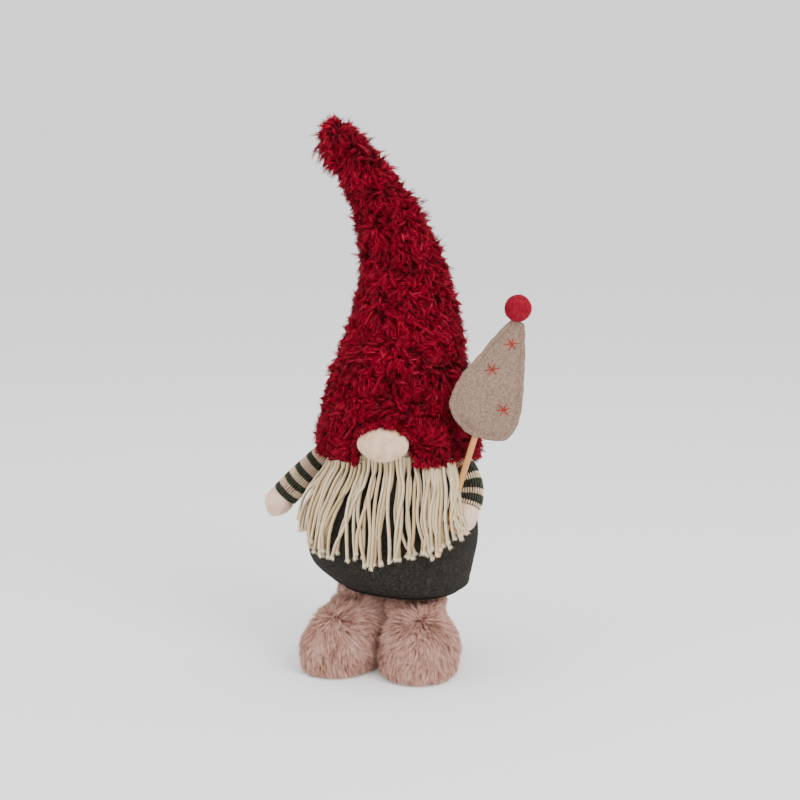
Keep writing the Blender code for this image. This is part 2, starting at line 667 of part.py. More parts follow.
bore = cutter("stick_bore", tube([(0, 0, -8), (0, 0, STICK_IN_TREE + 0.8)], [STICK_R + 0.45] * 2, 6, True), frame)
for name, sign in (("tree_front_felt", -1), ("tree_back_felt", 1)):
    skin = tree_skin(sign)
    work = bmesh.new()
    work.from_mesh(skin)
    middle = sum((v.co for v in work.verts), Vector()) / len(work.verts)
    work.normal_update()
    facing = sum(f.normal.y * f.calc_area() for f in work.faces)
    if facing * sign < 0:
        bmesh.ops.reverse_faces(work, faces=work.faces)
    work.to_mesh(skin)
    work.free()
    sheet = piece(name, skin, "beige_felt", tree_pivot, frame)
    wall(sheet, TREE_FELT).offset = 1.0
    cut(sheet, bore)

rings = [tree_ring(f, -h) for f, h in ((0.3, 4.5), (0.58, 4.0), (0.8, 2.8), (0.91, 0.6))]
rings += [tree_ring(f, h) for f, h in ((0.91, 0.6), (0.8, 2.8), (0.58, 4.0), (0.3, 4.5))][1:] if False else [tree_ring(f, h) for f, h in ((0.8, 2.8), (0.58, 4.0), (0.3, 4.5))]
pad = loft(rings, True, True)
work = bmesh.new()
work.from_mesh(pad)
bmesh.ops.recalc_face_normals(work, faces=work.faces)
work.to_mesh(pad)
work.free()
padding = piece("tree_padding", pad, "filling", tree_pivot, frame)
cut(padding, bore)

stitch = tree_ring(0.86, -(2.6 + TREE_FELT + 1.3))
piece("tree_edge_stitch", tube(stitch, [0.35] * len(stitch), 1, False, cyclic=True), "beige_thread", tree_pivot, frame)

for name, (sx, sz) in STARS.items():
    arms = []
    for i in range(6):
        a = math.pi * i / 3 + math.radians(20)
        for da, rr in ((-5, STAR_R), (5, STAR_R), (30, 0.95)):
            arms.append((rr * math.cos(a + math.radians(da)), rr * math.sin(a + math.radians(da))))
    flat = prism(arms, 0.0, 0.7)
    flat.transform(Matrix.Rotation(math.radians(90), 4, "X"))
    place = frame @ Matrix.Translation(Vector((sx, -(5.0 + TREE_FELT + 0.9), sz)) * MM)
    piece("star_stitch_" + name, flat, "red_thread", tree_pivot, place)

felt_ball = ball((BALL_R,) * 3, (0, 0, 0), 20, 12)
piece("tree_pompom", to_mesh(felt_ball), "red_felt", tree_pivot, Matrix.Translation(BALL_C * MM))

# ------------------------------------------------------------------ origin

root.location = Vector((ORIGIN_X, ORIGIN_Y, 0.0)) * MM
bpy.context.view_layer.update()
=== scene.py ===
"""Looks of the tomte gnome: plush hat, velour nose, cotton-cord beard, felt sack body, knit arms,
furry boots and a felt tree on a stick. Lengths in the tables are millimetres in the body's own
axes, as in the CAD source; metres() turns them into the row frame."""

import math

import bmesh
import bpy
import numpy as np
from mathutils import Matrix, Vector


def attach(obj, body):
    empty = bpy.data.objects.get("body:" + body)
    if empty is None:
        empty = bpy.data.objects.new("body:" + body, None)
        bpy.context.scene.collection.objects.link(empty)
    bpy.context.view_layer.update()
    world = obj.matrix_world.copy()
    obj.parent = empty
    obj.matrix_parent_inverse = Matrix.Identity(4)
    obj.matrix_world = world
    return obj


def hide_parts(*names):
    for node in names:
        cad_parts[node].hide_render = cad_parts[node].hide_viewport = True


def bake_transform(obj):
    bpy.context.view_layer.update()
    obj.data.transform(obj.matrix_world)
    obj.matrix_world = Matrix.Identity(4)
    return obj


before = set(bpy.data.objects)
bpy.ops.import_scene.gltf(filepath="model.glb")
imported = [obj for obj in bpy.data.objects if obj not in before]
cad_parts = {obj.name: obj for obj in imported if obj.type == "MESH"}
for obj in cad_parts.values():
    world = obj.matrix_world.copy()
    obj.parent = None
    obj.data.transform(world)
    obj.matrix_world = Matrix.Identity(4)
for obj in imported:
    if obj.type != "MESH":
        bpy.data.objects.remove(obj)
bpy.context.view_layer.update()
SCENE = bpy.context.scene

# ------------------------------------------------------------------ shape tables, as in the CAD source

SHIFT = np.array((-5.3, 10.93, 0.0))
BODY_PROFILE = [
    (9.0, 203.0), (24.0, 202.0), (40.0, 198.0), (51.0, 192.0), (56.4, 185.0), (60.5, 178.0),
    (66.0, 168.0), (70.5, 157.0), (74.5, 143.0), (76.8, 128.0), (77.2, 113.0), (75.6, 97.0),
    (71.5, 84.0), (64.5, 73.5), (56.0, 66.5), (47.0, 64.0),
]
BODY_BY_Z = sorted((z, r) for r, z in BODY_PROFILE)
HAT_AXIS = [(188, 6.0), (233, 6.4), (270, 9.6), (300, 11.8), (330, 11.6), (352, 8.6), (376, 2.0),
            (395, -5.4), (415, -15.6), (435, -28.0), (452, -40.0), (468, -52.0)]
HAT_RADIUS = [(188, 68.0), (210, 65.5), (233, 61.5), (270, 51.5), (306, 42.5), (342, 33.5),
              (376, 26.5), (411, 19.8), (445, 13.6), (460, 11.0), (468, 8.6)]
BEND_LOW_Z, BEND_HIGH_Z = 300.0, 385.0
NOSE_C = np.array((9.4, -77.5, 207.6))
NOSE_R = np.array((22.4, 15.0, 15.2))
BOOT_RINGS = [
    (2.4, 31.0, 27.5, 48.0), (8.0, 31.5, 31.5, 53.0), (22.0, 31.5, 32.0, 53.5), (36.0, 31.5, 27.4, 49.0),
    (45.0, 29.0, 22.0, 43.0), (50.5, 21.0, 19.6, 36.5), (54.5, 9.0, 18.4, 26.5), (57.0, 0.0, 17.8, 18.0),
]
BOOTS = {"left": (1, 8.5, 0.0), "right": (-1, 13.0, -6.0)}
LEG_X, LEG_Y, LEG_R = 25.5, -2.0, 19.0
RIGHT_ARM = [(-74.6, -6.0, 168.6, 11.2), (-80.8, -6.6, 162.4, 11.6), (-89.2, -7.4, 153.6, 11.9), (-97.2, -8.2, 145.0, 12.0)]
RIGHT_HAND = [(-98.2, -8.3, 144.0, 12.0), (-102.0, -8.8, 139.6, 12.2), (-105.4, -9.4, 134.6, 11.2), (-107.2, -9.8, 131.2, 9.0), (-108.6, -10.1, 128.4, 5.2)]
LEFT_ARM = [(74.8, -31.6, 170.5, 11.0), (76.4, -34.2, 163.5, 11.4), (76.8, -37.8, 156.0, 11.5), (75.6, -41.2, 149.4, 11.5)]
LEFT_HAND = [(74.9, -42.1, 147.5, 11.5), (73.4, -44.0, 142.6, 11.4), (71.2, -46.0, 137.2, 10.8), (69.2, -47.2, 133.4, 8.8), (67.6, -48.2, 130.2, 5.0)]
STICK_TIP = np.array((53.0, -60.5, 108.5))
BALL_C = np.array((114.5, -35.5, 320.5))
STICK_R, TREE_FOOT, STICK_IN_TREE = 2.75, 109.0, 45.0
TREE_OUTLINE = [
    (-5.6, 98.4), (-11.4, 91.6), (-17.7, 76.8), (-21.0, 68.9), (-25.0, 60.4), (-31.4, 44.2), (-34.2, 30.0),
    (-33.2, 19.5), (-27.5, 10.4), (-20.5, 5.0), (-13.0, 0.8), (0.0, -0.6), (12.0, 0.2), (20.6, 3.4), (25.6, 11.0),
    (27.8, 25.0), (25.2, 40.4), (20.6, 60.2), (15.0, 79.9), (8.4, 96.8), (4.0, 100.2), (-2.4, 100.4),
]
TREE_MID_X = -3.0
TREE_FELT = 1.6
STARS = {"upper": (3.0, 84.0), "middle": (-6.3, 57.3), "lower": (13.1, 28.9)}
STAR_R = 6.6
BALL_R = 11.2
FRINGE_FOOT = [(0.0, 124.0), (0.08, 116.0), (0.2, 108.0), (0.45, 102.0), (0.58, 102.0), (0.72, 107.0), (0.84, 112.5), (0.93, 121.0), (1.0, 137.0)]
FRINGE_FOOT_DEG = [(0.0, -73.0), (0.25, -42.0), (0.5, -3.0), (0.75, 27.0), (1.0, 47.0)]
FRINGE_LEFT_DEG, FRINGE_RIGHT_DEG = -68.0, 58.0

# ------------------------------------------------------------------ camera, at the photograph's angle

TARGET = Vector((0.0017, 0.01093, 0.2333))
AZIMUTH, ELEVATION, DISTANCE = math.radians(12.5), math.radians(9.0), 1.6
back = Vector((math.sin(AZIMUTH) * math.cos(ELEVATION), -math.cos(AZIMUTH) * math.cos(ELEVATION), math.sin(ELEVATION)))
lens = bpy.data.cameras.new("camera")
lens.sensor_width = 36.0
lens.lens = 81.6
lens.clip_start, lens.clip_end = 0.05, 30.0
camera = bpy.data.objects.new("camera", lens)
camera.location = TARGET + back * DISTANCE
camera.rotation_euler = back.to_track_quat("Z", "Y").to_euler()
SCENE.collection.objects.link(camera)
SCENE.camera = camera


# ------------------------------------------------------------------ small numeric helpers


def metres(points):
    """Millimetres in the body's axes to metres in the row frame."""
    return (np.asarray(points, float) + SHIFT) * 0.001


def interp(table, z):
    """Smooth value at z from rows of (z, value), by Catmull-Rom between the rows."""
    zs, vs = np.array(table, float).T
    z = np.asarray(z, float)
    i = np.clip(np.searchsorted(zs, z) - 1, 0, len(zs) - 2)
    z0, z1, v0, v1 = zs[i], zs[i + 1], vs[i], vs[i + 1]
    b, a = np.maximum(i - 1, 0), np.minimum(i + 2, len(zs) - 1)
    zb = np.where(i > 0, zs[b], z0 - (z1 - z0))
    vb = np.where(i > 0, vs[b], v0 - (v1 - v0))
    za = np.where(i + 2 < len(zs), zs[a], z1 + (z1 - z0))
    va = np.where(i + 2 < len(zs), vs[a], v1 + (v1 - v0))
    m0 = (v1 - vb) / (z1 - zb) * (z1 - z0)
    m1 = (va - v0) / (za - z0) * (z1 - z0)
    t = (z - z0) / (z1 - z0)
    inside = ((2 * t**3 - 3 * t**2 + 1) * v0 + (t**3 - 2 * t**2 + t) * m0
              + (-2 * t**3 + 3 * t**2) * v1 + (t**3 - t**2) * m1)
    beyond = np.where(t < 0, v0, v1) + (z - np.where(t < 0, z0, z1)) * (v1 - v0) / (z1 - z0)
    return np.where((t < 0) | (t > 1), beyond, inside)


def smooth(t):
    t = np.clip(t, 0.0, 1.0)
    return t * t * (3 - 2 * t)


def unit(v):
    return v / np.maximum(np.linalg.norm(v, axis=-1, keepdims=True), 1e-9)


def dot(a, b):
    return (a * b).sum(-1, keepdims=True)


def waves(points, scale, seed, count=16):
    """A smooth random field over space, of spread about 1, that changes over scale mm."""
    r = np.random.default_rng(seed)
    k = unit(r.normal(size=(count, 3))) * (2 * math.pi / scale) * r.uniform(0.6, 1.5, (count, 1))
    return np.cos(points @ k.T + r.uniform(0, 2 * math.pi, count)).sum(-1) * math.sqrt(2.0 / count)


def wave_vector(points, scale, seed):
    return np.stack([waves(points, scale, seed + i) for i in range(3)], -1)


def catmull(points, count, closed=False):
    """The smooth line through points, with count even steps along it."""
    p = np.asarray(points, float)
    n = len(p)
    if closed:
        ext = np.concatenate([p[-1:], p, p[:2]])
        spans = n
    else:
        ext = np.concatenate([2 * p[:1] - p[1:2], p, 2 * p[-1:] - p[-2:-1]])
        spans = n - 1
    fine = []
    for i in range(spans):
        a, b, c, d = ext[i:i + 4]
        t = np.linspace(0, 1, 24, endpoint=False)[:, None]
        fine.append(0.5 * (2 * b + (c - a) * t + (2 * a - 5 * b + 4 * c - d) * t**2 + (3 * b - a - 3 * c + d) * t**3))
    fine = np.concatenate(fine + [p[:1] if closed else p[-1:]])
    run = np.concatenate([[0], np.cumsum(np.linalg.norm(np.diff(fine, axis=0), axis=1))])
    at = np.linspace(0, run[-1], count, endpoint=not closed)
    return np.stack([np.interp(at, run, fine[:, k]) for k in range(fine.shape[1])], -1)


def linear(r, g, b):
    """A screen colour, 0 to 255, as the shader's linear one."""
    out = []
    for c in (r, g, b):
        c /= 255.0
        out.append(c / 12.92 if c <= 0.04045 else ((c + 0.055) / 1.055) ** 2.4)
    return (*out, 1.0)


# ------------------------------------------------------------------ mesh makers


def build(name, verts, faces, finishes, slots=None, shaded=True):
    """An object from points in metres and arrays of three- and four-sided faces."""
    mesh = bpy.data.meshes.new(name)
    verts = np.ascontiguousarray(verts, np.float32)
    faces = [np.asarray(f, np.int32) for f in faces if len(f)]
    flat = np.concatenate([f.ravel() for f in faces])
    sizes = np.concatenate([np.full(len(f), f.shape[1]) for f in faces])
    starts = np.concatenate([[0], np.cumsum(sizes)[:-1]]).astype(np.int32)
    mesh.vertices.add(len(verts))
    mesh.vertices.foreach_set("co", verts.ravel())
    mesh.loops.add(len(flat))
    mesh.loops.foreach_set("vertex_index", flat)
    mesh.polygons.add(len(sizes))
    mesh.polygons.foreach_set("loop_start", starts)
    for finish in finishes:
        mesh.materials.append(finish)
    if slots is not None:
        mesh.polygons.foreach_set("material_index", np.asarray(slots, np.int32))
    mesh.update(calc_edges=True)
    if shaded:
        mesh.shade_smooth()
    else:
        mesh.shade_flat()
    obj = bpy.data.objects.new(name, mesh)
    SCENE.collection.objects.link(obj)
    return obj


def grid_faces(rows, cols, wrap, start=0):
    """Faces of a rows by cols grid of points, its columns joined round if wrap."""
    r, c = np.meshgrid(np.arange(rows - 1), np.arange(cols if wrap else cols - 1), indexing="ij")
    n = (c + 1) % cols
    return np.stack([r * cols + c, r * cols + n, (r + 1) * cols + n, (r + 1) * cols + c], -1).reshape(-1, 4) + start


def skin(name, rings, finishes, wrap=True, cap_first=False, cap_last=False, slots=None):
    """A surface through rings of points in mm; a cap is a fan to the ring's middle."""
    rings = np.asarray(rings, float)
    rows, cols = rings.shape[:2]
    verts = rings.reshape(-1, 3)
    faces = [grid_faces(rows, cols, wrap)]
    tris = []
    i = np.arange(cols)
    j = (i + 1) % cols
    if cap_first:
        tris.append(np.stack([np.full(cols, len(verts)), j, i], -1))
        verts = np.concatenate([verts, rings[0].mean(0)[None]])
    if cap_last:
        top = (rows - 1) * cols
        tris.append(np.stack([np.full(cols, len(verts)), top + i, top + j], -1))
        verts = np.concatenate([verts, rings[-1].mean(0)[None]])
    if tris:
        faces.append(np.concatenate(tris))
    return build(name, metres(verts), faces, finishes, slots)


def frames_along(line):
    """Two unit vectors across a line at each of its points, without twist."""
    line = np.asarray(line, float)
    ahead = unit(np.gradient(line, axis=0))
    across = np.zeros_like(line)
    start = np.cross(ahead[0], (0.0, 0.0, 1.0) if abs(ahead[0][2]) < 0.9 else (0.0, 1.0, 0.0))
    across[0] = start / np.linalg.norm(start)
    for k in range(1, len(line)):
        v = across[k - 1] - ahead[k] * (across[k - 1] @ ahead[k])
        across[k] = v / np.linalg.norm(v)
    return ahead, across, np.cross(ahead, across)


def ribbons(line, side, width):
    """Tapered blades. line is (blades, points, 3), side the same, width (blades, points - 1)."""
    count, points, _ = line.shape
    half = 0.5 * width[..., None]
    left = line[:, :-1] - side[:, :-1] * half
    right = line[:, :-1] + side[:, :-1] * half
    verts = np.concatenate([np.stack([left, right], 2).reshape(count, 2 * (points - 1), 3), line[:, -1:]], 1)
    n = 2 * points - 1
    base = (np.arange(count) * n)[:, None, None]
    quads = base + np.array([[2 * i, 2 * i + 1, 2 * i + 3, 2 * i + 2] for i in range(points - 2)])[None]
    tris = base + np.array([[2 * points - 4, 2 * points - 3, 2 * points - 2]])[None]
    return verts.reshape(-1, 3), quads.reshape(-1, 4), tris.reshape(-1, 3)


def blade_object(name, line, side, width, finishes, tone):
    """Blades as one object. tone is (blades, points - 1): the finish of each stretch of each blade."""
    verts, quads, tris = ribbons(line, side, width)
    slots = np.concatenate([tone[:, :-1].reshape(-1), tone[:, -1]])
    return build(name, metres(verts), [quads, tris], finishes, slots)


def capsule(start, end, radius, sides=8, steps=8, bow=None, twist=0.0):
    """Points and faces of a thread stitch with round ends, bowed by a vector in its middle."""
    start, end = np.asarray(start, float), np.asarray(end, float)
    t = np.linspace(0, 1, steps + 1)
    line = start + (end - start) * t[:, None]
    if bow is not None:
        line = line + np.asarray(bow) * (4 * t * (1 - t))[:, None]
    ahead, a, b = frames_along(line)
    r = radius * np.sqrt(np.clip(1 - (2 * t - 1) ** 6, 0.02, 1))
    th = np.linspace(0, 2 * math.pi, sides, endpoint=False)
    lobes = 1 + 0.16 * np.cos(2 * (th[None] + twist * t[:, None]))
    ring = line[:, None] + (a[:, None] * np.cos(th)[None, :, None] + b[:, None] * np.sin(th)[None, :, None]) * (r[:, None] * lobes)[..., None]
    verts = np.concatenate([ring.reshape(-1, 3), line[:1], line[-1:]])
    i = np.arange(sides)
    j = (i + 1) % sides
    top = steps * sides
    tris = np.concatenate([np.stack([np.full(sides, len(verts) - 2), j, i], -1), np.stack([np.full(sides, len(verts) - 1), top + i, top + j], -1)])
    return verts, grid_faces(steps + 1, sides, True), tris


def joined(parts):
    """Several (points, quads, tris) as one."""
    verts, quads, tris, n = [], [], [], 0
    for v, q, t in parts:
        verts.append(v)
        quads.append(q + n)
        tris.append(t + n)
        n += len(v)
    return np.concatenate(verts), np.concatenate(quads), np.concatenate(tris)


# ------------------------------------------------------------------ materials


def shader(name, colour, rough, sheen=0.0, sheen_tint=None):
    """A new node material, and its tree and shader."""
    mat = bpy.data.materials.new(name)
    mat.use_nodes = True
    tree = mat.node_tree
    bsdf = tree.nodes["Principled BSDF"]
    bsdf.inputs["Base Color"].default_value = colour
    bsdf.inputs["Roughness"].default_value = rough
    bsdf.inputs["Specular IOR Level"].default_value = 0.14
    bsdf.inputs["Sheen Weight"].default_value = sheen
    bsdf.inputs["Sheen Roughness"].default_value = 0.5
    if sheen_tint:
        bsdf.inputs["Sheen Tint"].default_value = sheen_tint
    return mat, tree, bsdf


def add(tree, kind, **values):
    node = tree.nodes.new(kind)
    for key, value in values.items():
        if key in node.inputs:
            node.inputs[key].default_value = value
        else:
            setattr(node, key, value)
    return node


def placed(tree, turn=(0, 0, 0), scale=(1, 1, 1)):
    """Object coordinates, turned and scaled."""
    coords = tree.nodes.new("ShaderNodeTexCoord")
    mapping = tree.nodes.new("ShaderNodeMapping")
    mapping.inputs["Rotation"].default_value = turn
    mapping.inputs["Scale"].default_value = scale
    tree.links.new(coords.outputs["Object"], mapping.inputs["Vector"])
    return mapping.outputs["Vector"]


def noise(tree, where, scale=1.0, detail=3.0, rough=0.6, distortion=0.0):
    node = tree.nodes.new("ShaderNodeTexNoise")
    node.inputs["Scale"].default_value = scale
    node.inputs["Detail"].default_value = detail
    node.inputs["Roughness"].default_value = rough
    node.inputs["Distortion"].default_value = distortion
    tree.links.new(where, node.inputs["Vector"])
    return node.outputs["Fac"]


def ramp(tree, value, stops):
    """Maps a value through stops of (place, value or colour)."""
    node = tree.nodes.new("ShaderNodeValToRGB")
    bar = node.color_ramp
    while len(bar.elements) < len(stops):
        bar.elements.new(0.5)
    for element, (place, c) in zip(bar.elements, stops):
        element.position = place
        element.color = c if isinstance(c, tuple) else (c, c, c, 1.0)
    tree.links.new(value, node.inputs["Fac"])
    return node.outputs["Color"]


def maths(tree, op, a, b):
    node = tree.nodes.new("ShaderNodeMath")
    node.operation = op
    for slot_, v in zip(node.inputs, (a, b)):
        if isinstance(v, (int, float)):
            slot_.default_value = v
        else:
            tree.links.new(v, slot_)
    return node.outputs[0]


def mix(tree, factor, a, b):
    node = tree.nodes.new("ShaderNodeMix")
    node.data_type = "RGBA"
    for slot_, v in ((node.inputs[0], factor), (node.inputs[6], a), (node.inputs[7], b)):
        if isinstance(v, (int, float, tuple)):
            slot_.default_value = v
        else:
            tree.links.new(v, slot_)
    return node.outputs[2]


def bump(tree, bsdf, height, distance, strength=1.0):
    node = tree.nodes.new("ShaderNodeBump")
    node.inputs["Strength"].default_value = strength
    node.inputs["Distance"].default_value = distance
    tree.links.new(height, node.inputs["Height"])
    tree.links.new(node.outputs["Normal"], bsdf.inputs["Normal"])


def felt(name, dark, mid, light, flecks=0.5, nap=0.00025, blotch=0.35, scale=1.0, sheen=0.25):
    """Pressed wool: fine crossing fibres of several shades, soft clouds of tone, and a short nap."""
    mat, tree, bsdf = shader(name, mid, 0.93, sheen, light)
    fibres, lift = None, None
    for k, turn in enumerate(((0.3, 0.2, 0.1), (1.1, -0.6, 0.9), (-0.7, 1.2, 2.0), (0.5, 2.1, -0.9))):
        where = placed(tree, turn, (700 * scale, 3600 * scale, 3600 * scale))
        f = noise(tree, where, 1.0, 2.0, 0.5, 0.6)
        line = ramp(tree, f, [(0.0, 0.0), (0.57, 0.0), (0.66, 1.0), (1.0, 1.0)])
        gap = ramp(tree, f, [(0.0, 1.0), (0.34, 1.0), (0.43, 0.0), (1.0, 0.0)])
        fibres = line if fibres is None else maths(tree, "MAXIMUM", fibres, line)
        lift = gap if lift is None else maths(tree, "MAXIMUM", lift, gap)
    plain = placed(tree)
    clouds = noise(tree, plain, 380.0 * scale, 4.0, 0.7)
    broad = noise(tree, plain, 26.0, 3.0, 0.5)
    tone = ramp(tree, clouds, [(0.25, dark), (0.5, mid), (0.8, light)])
    tone = mix(tree, maths(tree, "MULTIPLY", lift, flecks), tone, dark)
    tone = mix(tree, maths(tree, "MULTIPLY", fibres, flecks), tone, light)
    shade = ramp(tree, broad, [(0.3, 1.0 - blotch), (0.7, 1.0)])
    node = tree.nodes.new("ShaderNodeMix")
    node.data_type, node.blend_type = "RGBA", "MULTIPLY"
    node.inputs[0].default_value = 1.0
    tree.links.new(tone, node.inputs[6])
    tree.links.new(shade, node.inputs[7])
    tree.links.new(node.outputs[2], bsdf.inputs["Base Color"])
    height = maths(tree, "ADD", maths(tree, "MULTIPLY", fibres, 0.5), noise(tree, plain, 1500.0 * scale, 4.0, 0.7))
    bump(tree, bsdf, height, nap)
    return mat


def pile(name, colour, rough, sheen=0.3, tint=None, subsurface=0.0):
    """One shade of fur, yarn or cord: even colour with fibre-scale roughness and relief."""
    mat, tree, bsdf = shader(name, colour, rough, sheen, tint)
    where = placed(tree)
    fine = noise(tree, where, 2600.0, 3.0, 0.65)
    tree.links.new(ramp(tree, fine, [(0.2, rough - 0.16), (0.8, min(1.0, rough + 0.14))]), bsdf.inputs["Roughness"])
    bump(tree, bsdf, fine, 0.00012, 0.7)
    if subsurface:
        bsdf.inputs["Subsurface Weight"].default_value = subsurface
        bsdf.inputs["Subsurface Radius"].default_value = (0.003, 0.002, 0.0015)
        bsdf.inputs["Subsurface Scale"].default_value = 0.6
    return mat


CRIMSON = [
    # darkest crimson: painted shade, for the feet of the tufts and for the hat cloth that shows between them
    pile("plush_root_painted_shade", linear(56, 0, 11), 0.85, 0.0),
    pile("plush_deep", linear(98, 0, 20), 0.7, 0.03, linear(255, 60, 90)),
    pile("plush_mid", linear(128, 0, 28), 0.66, 0.04, linear(255, 60, 90)),
    pile("plush_light", linear(156, 2, 38), 0.6, 0.06, linear(255, 70, 100)),
    # pale pinkish crimson: a painted highlight on a few blade tips
    pile("plush_painted_highlight", linear(190, 36, 68), 0.5, 0.1, linear(255, 140, 160)),
]
PINK = [
    # darkest pink: painted shade, for the feet of the locks and for the boot and leg cloth between them
    pile("fur_root_painted_shade", linear(116, 74, 61), 0.85, 0.0),
    pile("fur_deep", linear(164, 116, 100), 0.75, 0.04, linear(255, 215, 200)),
    pile("fur_mid", linear(197, 150, 133), 0.7, 0.06, linear(255, 220, 205)),
    pile("fur_light", linear(221, 180, 164), 0.66, 0.1, linear(255, 230, 215)),
    pile("fur_tan_tip", linear(210, 148, 106), 0.66, 0.06, linear(255, 215, 185)),
]
COTTON = [
    pile("cotton_cord_mid", linear(230, 208, 170), 0.92, 0.03, linear(255, 240, 215)),
    pile("cotton_cord_pale", linear(240, 222, 188), 0.92, 0.03, linear(255, 245, 225)),
    pile("cotton_cord_warm", linear(216, 191, 149), 0.92, 0.03, linear(255, 235, 205)),
    pile("cotton_fray", linear(238, 222, 192), 0.9, 0.05, linear(255, 248, 230)),
    # dark brown for the valleys between the plies: painted shade in the grooves
    pile("cotton_groove_painted_shade", linear(118, 92, 56), 0.95, 0.0),
]
GREEN_YARN = pile("knit_green_yarn", linear(70, 73, 62), 0.92, 0.05, linear(190, 205, 190))
GREEN_DARK = pile("knit_green_dark", linear(48, 51, 43), 0.92, 0.05, linear(180, 190, 180))
OAT_YARN = pile("knit_oat_yarn", linear(240, 214, 182), 0.92, 0.05, linear(255, 240, 225))
OAT_DARK = pile("knit_oat_dark", linear(204, 172, 140), 0.92, 0.05, linear(255, 235, 215))
# near-black brown for the tube under the stitches: painted shade between the yarn legs
KNIT_GAP_SHADE = pile("knit_gap_painted_shade", linear(28, 23, 18), 0.95, 0.0)

CHARCOAL = felt("charcoal_melange_felt", linear(12, 12, 11), linear(30, 28, 26), linear(80, 75, 68), 0.6, 0.0004, 0.08, sheen=0.02)
TREE_FELT_MAT = felt("grey_beige_melange_felt", linear(96, 75, 62), linear(150, 123, 106), linear(196, 168, 148), 0.6, 0.0004, 0.12, sheen=0.03)
RED_FELT = felt("red_wool_felt", linear(86, 0, 16), linear(138, 2, 32), linear(186, 40, 64), 0.55, 0.0003, 0.1, sheen=0.03)
SOLE_FELT = felt("sole_felt_rose", linear(130, 92, 78), linear(156, 118, 102), linear(184, 148, 130), 0.35, 0.0002, 0.2, sheen=0.05)
RED_THREAD = pile("red_embroidery_thread", linear(158, 2, 16), 0.5, 0.05, linear(255, 120, 120))
BEIGE_THREAD = pile("beige_sewing_thread", linear(118, 96, 82), 0.7, 0.03)
PALE_THREAD = pile("pale_sewing_thread", linear(206, 186, 178), 0.6, 0.3)


def napped(name, colour, warm, pale, scale, depth, sheen):
    """Fleece or velour: a dense short nap, brushed into faint paler and warmer patches."""
    mat, tree, bsdf = shader(name, colour, 0.9, sheen, pale)
    where = placed(tree)
    patch = noise(tree, where, scale * 0.06, 3.0, 0.5)
    fine = noise(tree, where, scale, 4.0, 0.7)
    tone = ramp(tree, patch, [(0.3, warm), (0.52, colour), (0.75, pale)])
    tone = mix(tree, maths(tree, "MULTIPLY", ramp(tree, fine, [(0.35, 1.0), (0.55, 0.0)]), 0.35), tone, warm)
    tree.links.new(tone, bsdf.inputs["Base Color"])
    bump(tree, bsdf, fine, depth)
    bsdf.inputs["Subsurface Weight"].default_value = 0.08
    bsdf.inputs["Subsurface Radius"].default_value = (0.004, 0.002, 0.0015)
    return mat


VELOUR = napped("nose_velour", linear(218, 186, 158), linear(202, 163, 133), linear(228, 200, 176), 1700.0, 0.0003, 0.12)
FLEECE = napped("hand_fleece", linear(230, 199, 179), linear(211, 173, 152), linear(240, 216, 200), 1300.0, 0.0004, 0.12)


def wood(name, axis_turn):
    """Pale turned dowel: long fibres, soft growth bands and small dark pores."""
    mat, tree, bsdf = shader(name, linear(214, 168, 116), 0.55)
    bsdf.inputs["Specular IOR Level"].default_value = 0.4
    long_ = placed(tree, axis_turn, (900.0, 900.0, 28.0))
    fibre = noise(tree, long_, 1.0, 5.0, 0.7, 0.4)
    bands = noise(tree, placed(tree, axis_turn, (260.0, 260.0, 7.0)), 1.0, 2.0, 0.5, 0.8)
    tone = ramp(tree, fibre, [(0.28, linear(158, 98, 48)), (0.48, linear(196, 140, 80)), (0.75, linear(220, 170, 112))])
    tone = mix(tree, maths(tree, "MULTIPLY", ramp(tree, bands, [(0.4, 0.0), (0.62, 1.0)]), 0.4), tone, linear(168, 108, 56))
    pores = noise(tree, placed(tree, axis_turn, (3400.0, 3400.0, 160.0)), 1.0, 1.0, 0.4)
    tone = mix(tree, maths(tree, "MULTIPLY", ramp(tree, pores, [(0.26, 1.0), (0.34, 0.0)]), 0.6), tone, linear(120, 78, 44))
    tree.links.new(tone, bsdf.inputs["Base Color"])
    tree.links.new(ramp(tree, fibre, [(0.3, 0.66), (0.7, 0.5)]), bsdf.inputs["Roughness"])
    bump(tree, bsdf, fibre, 0.00012, 0.8)
    return mat


def tape_weave(name, colour, shadow):
    """Narrow plain-woven cotton tape."""
    mat, tree, bsdf = shader(name, colour, 0.92, 0.2)
    where = placed(tree)
    wave = add(tree, "ShaderNodeTexWave")
    wave.inputs["Scale"].default_value = 520.0
    wave.bands_direction = "Z"
    tree.links.new(where, wave.inputs["Vector"])
    tone = mix(tree, wave.outputs["Fac"], shadow, colour)
    tree.links.new(tone, bsdf.inputs["Base Color"])
    bump(tree, bsdf, wave.outputs["Fac"], 0.0002)
    return mat


STICK_AXIS = unit(BALL_C - STICK_TIP)
to_z = Vector(STICK_AXIS).rotation_difference(Vector((0, 0, 1)))
BIRCH = wood("birch_dowel", tuple(to_z.to_euler("XYZ")))
TAPE = tape_weave("cotton_tape_weave", linear(214, 200, 172), linear(172, 156, 128))

# ------------------------------------------------------------------ the body's surface


def body_lean(z):
    return 6.0 * smooth((z - 140) / 45) + 5.0 * smooth((97 - z) / 30)


def body_depth(z):
    return 0.92 + 0.065 * smooth((z - 140) / 45)


def body_radius(z):
    return interp(BODY_BY_Z, z)


def body_level(points):
    """How far points are from the body's side, in mm, positive outside, and the way out."""
    x, y, z = points[..., 0], points[..., 1], points[..., 2]
    r, depth, lean = body_radius(z), body_depth(z), body_lean(z)
    a = np.arctan2(x - lean, -y)
    edge = 1.0 / np.hypot(np.sin(a) / r, np.cos(a) / (r * depth))
    level = np.hypot(x - lean, y) - edge
    normal = unit(np.stack([(x - lean) / r**2, y / (r * depth) ** 2, np.full_like(x, 0.0)], -1))
    return level, normal


# ------------------------------------------------------------------ beard: cords first


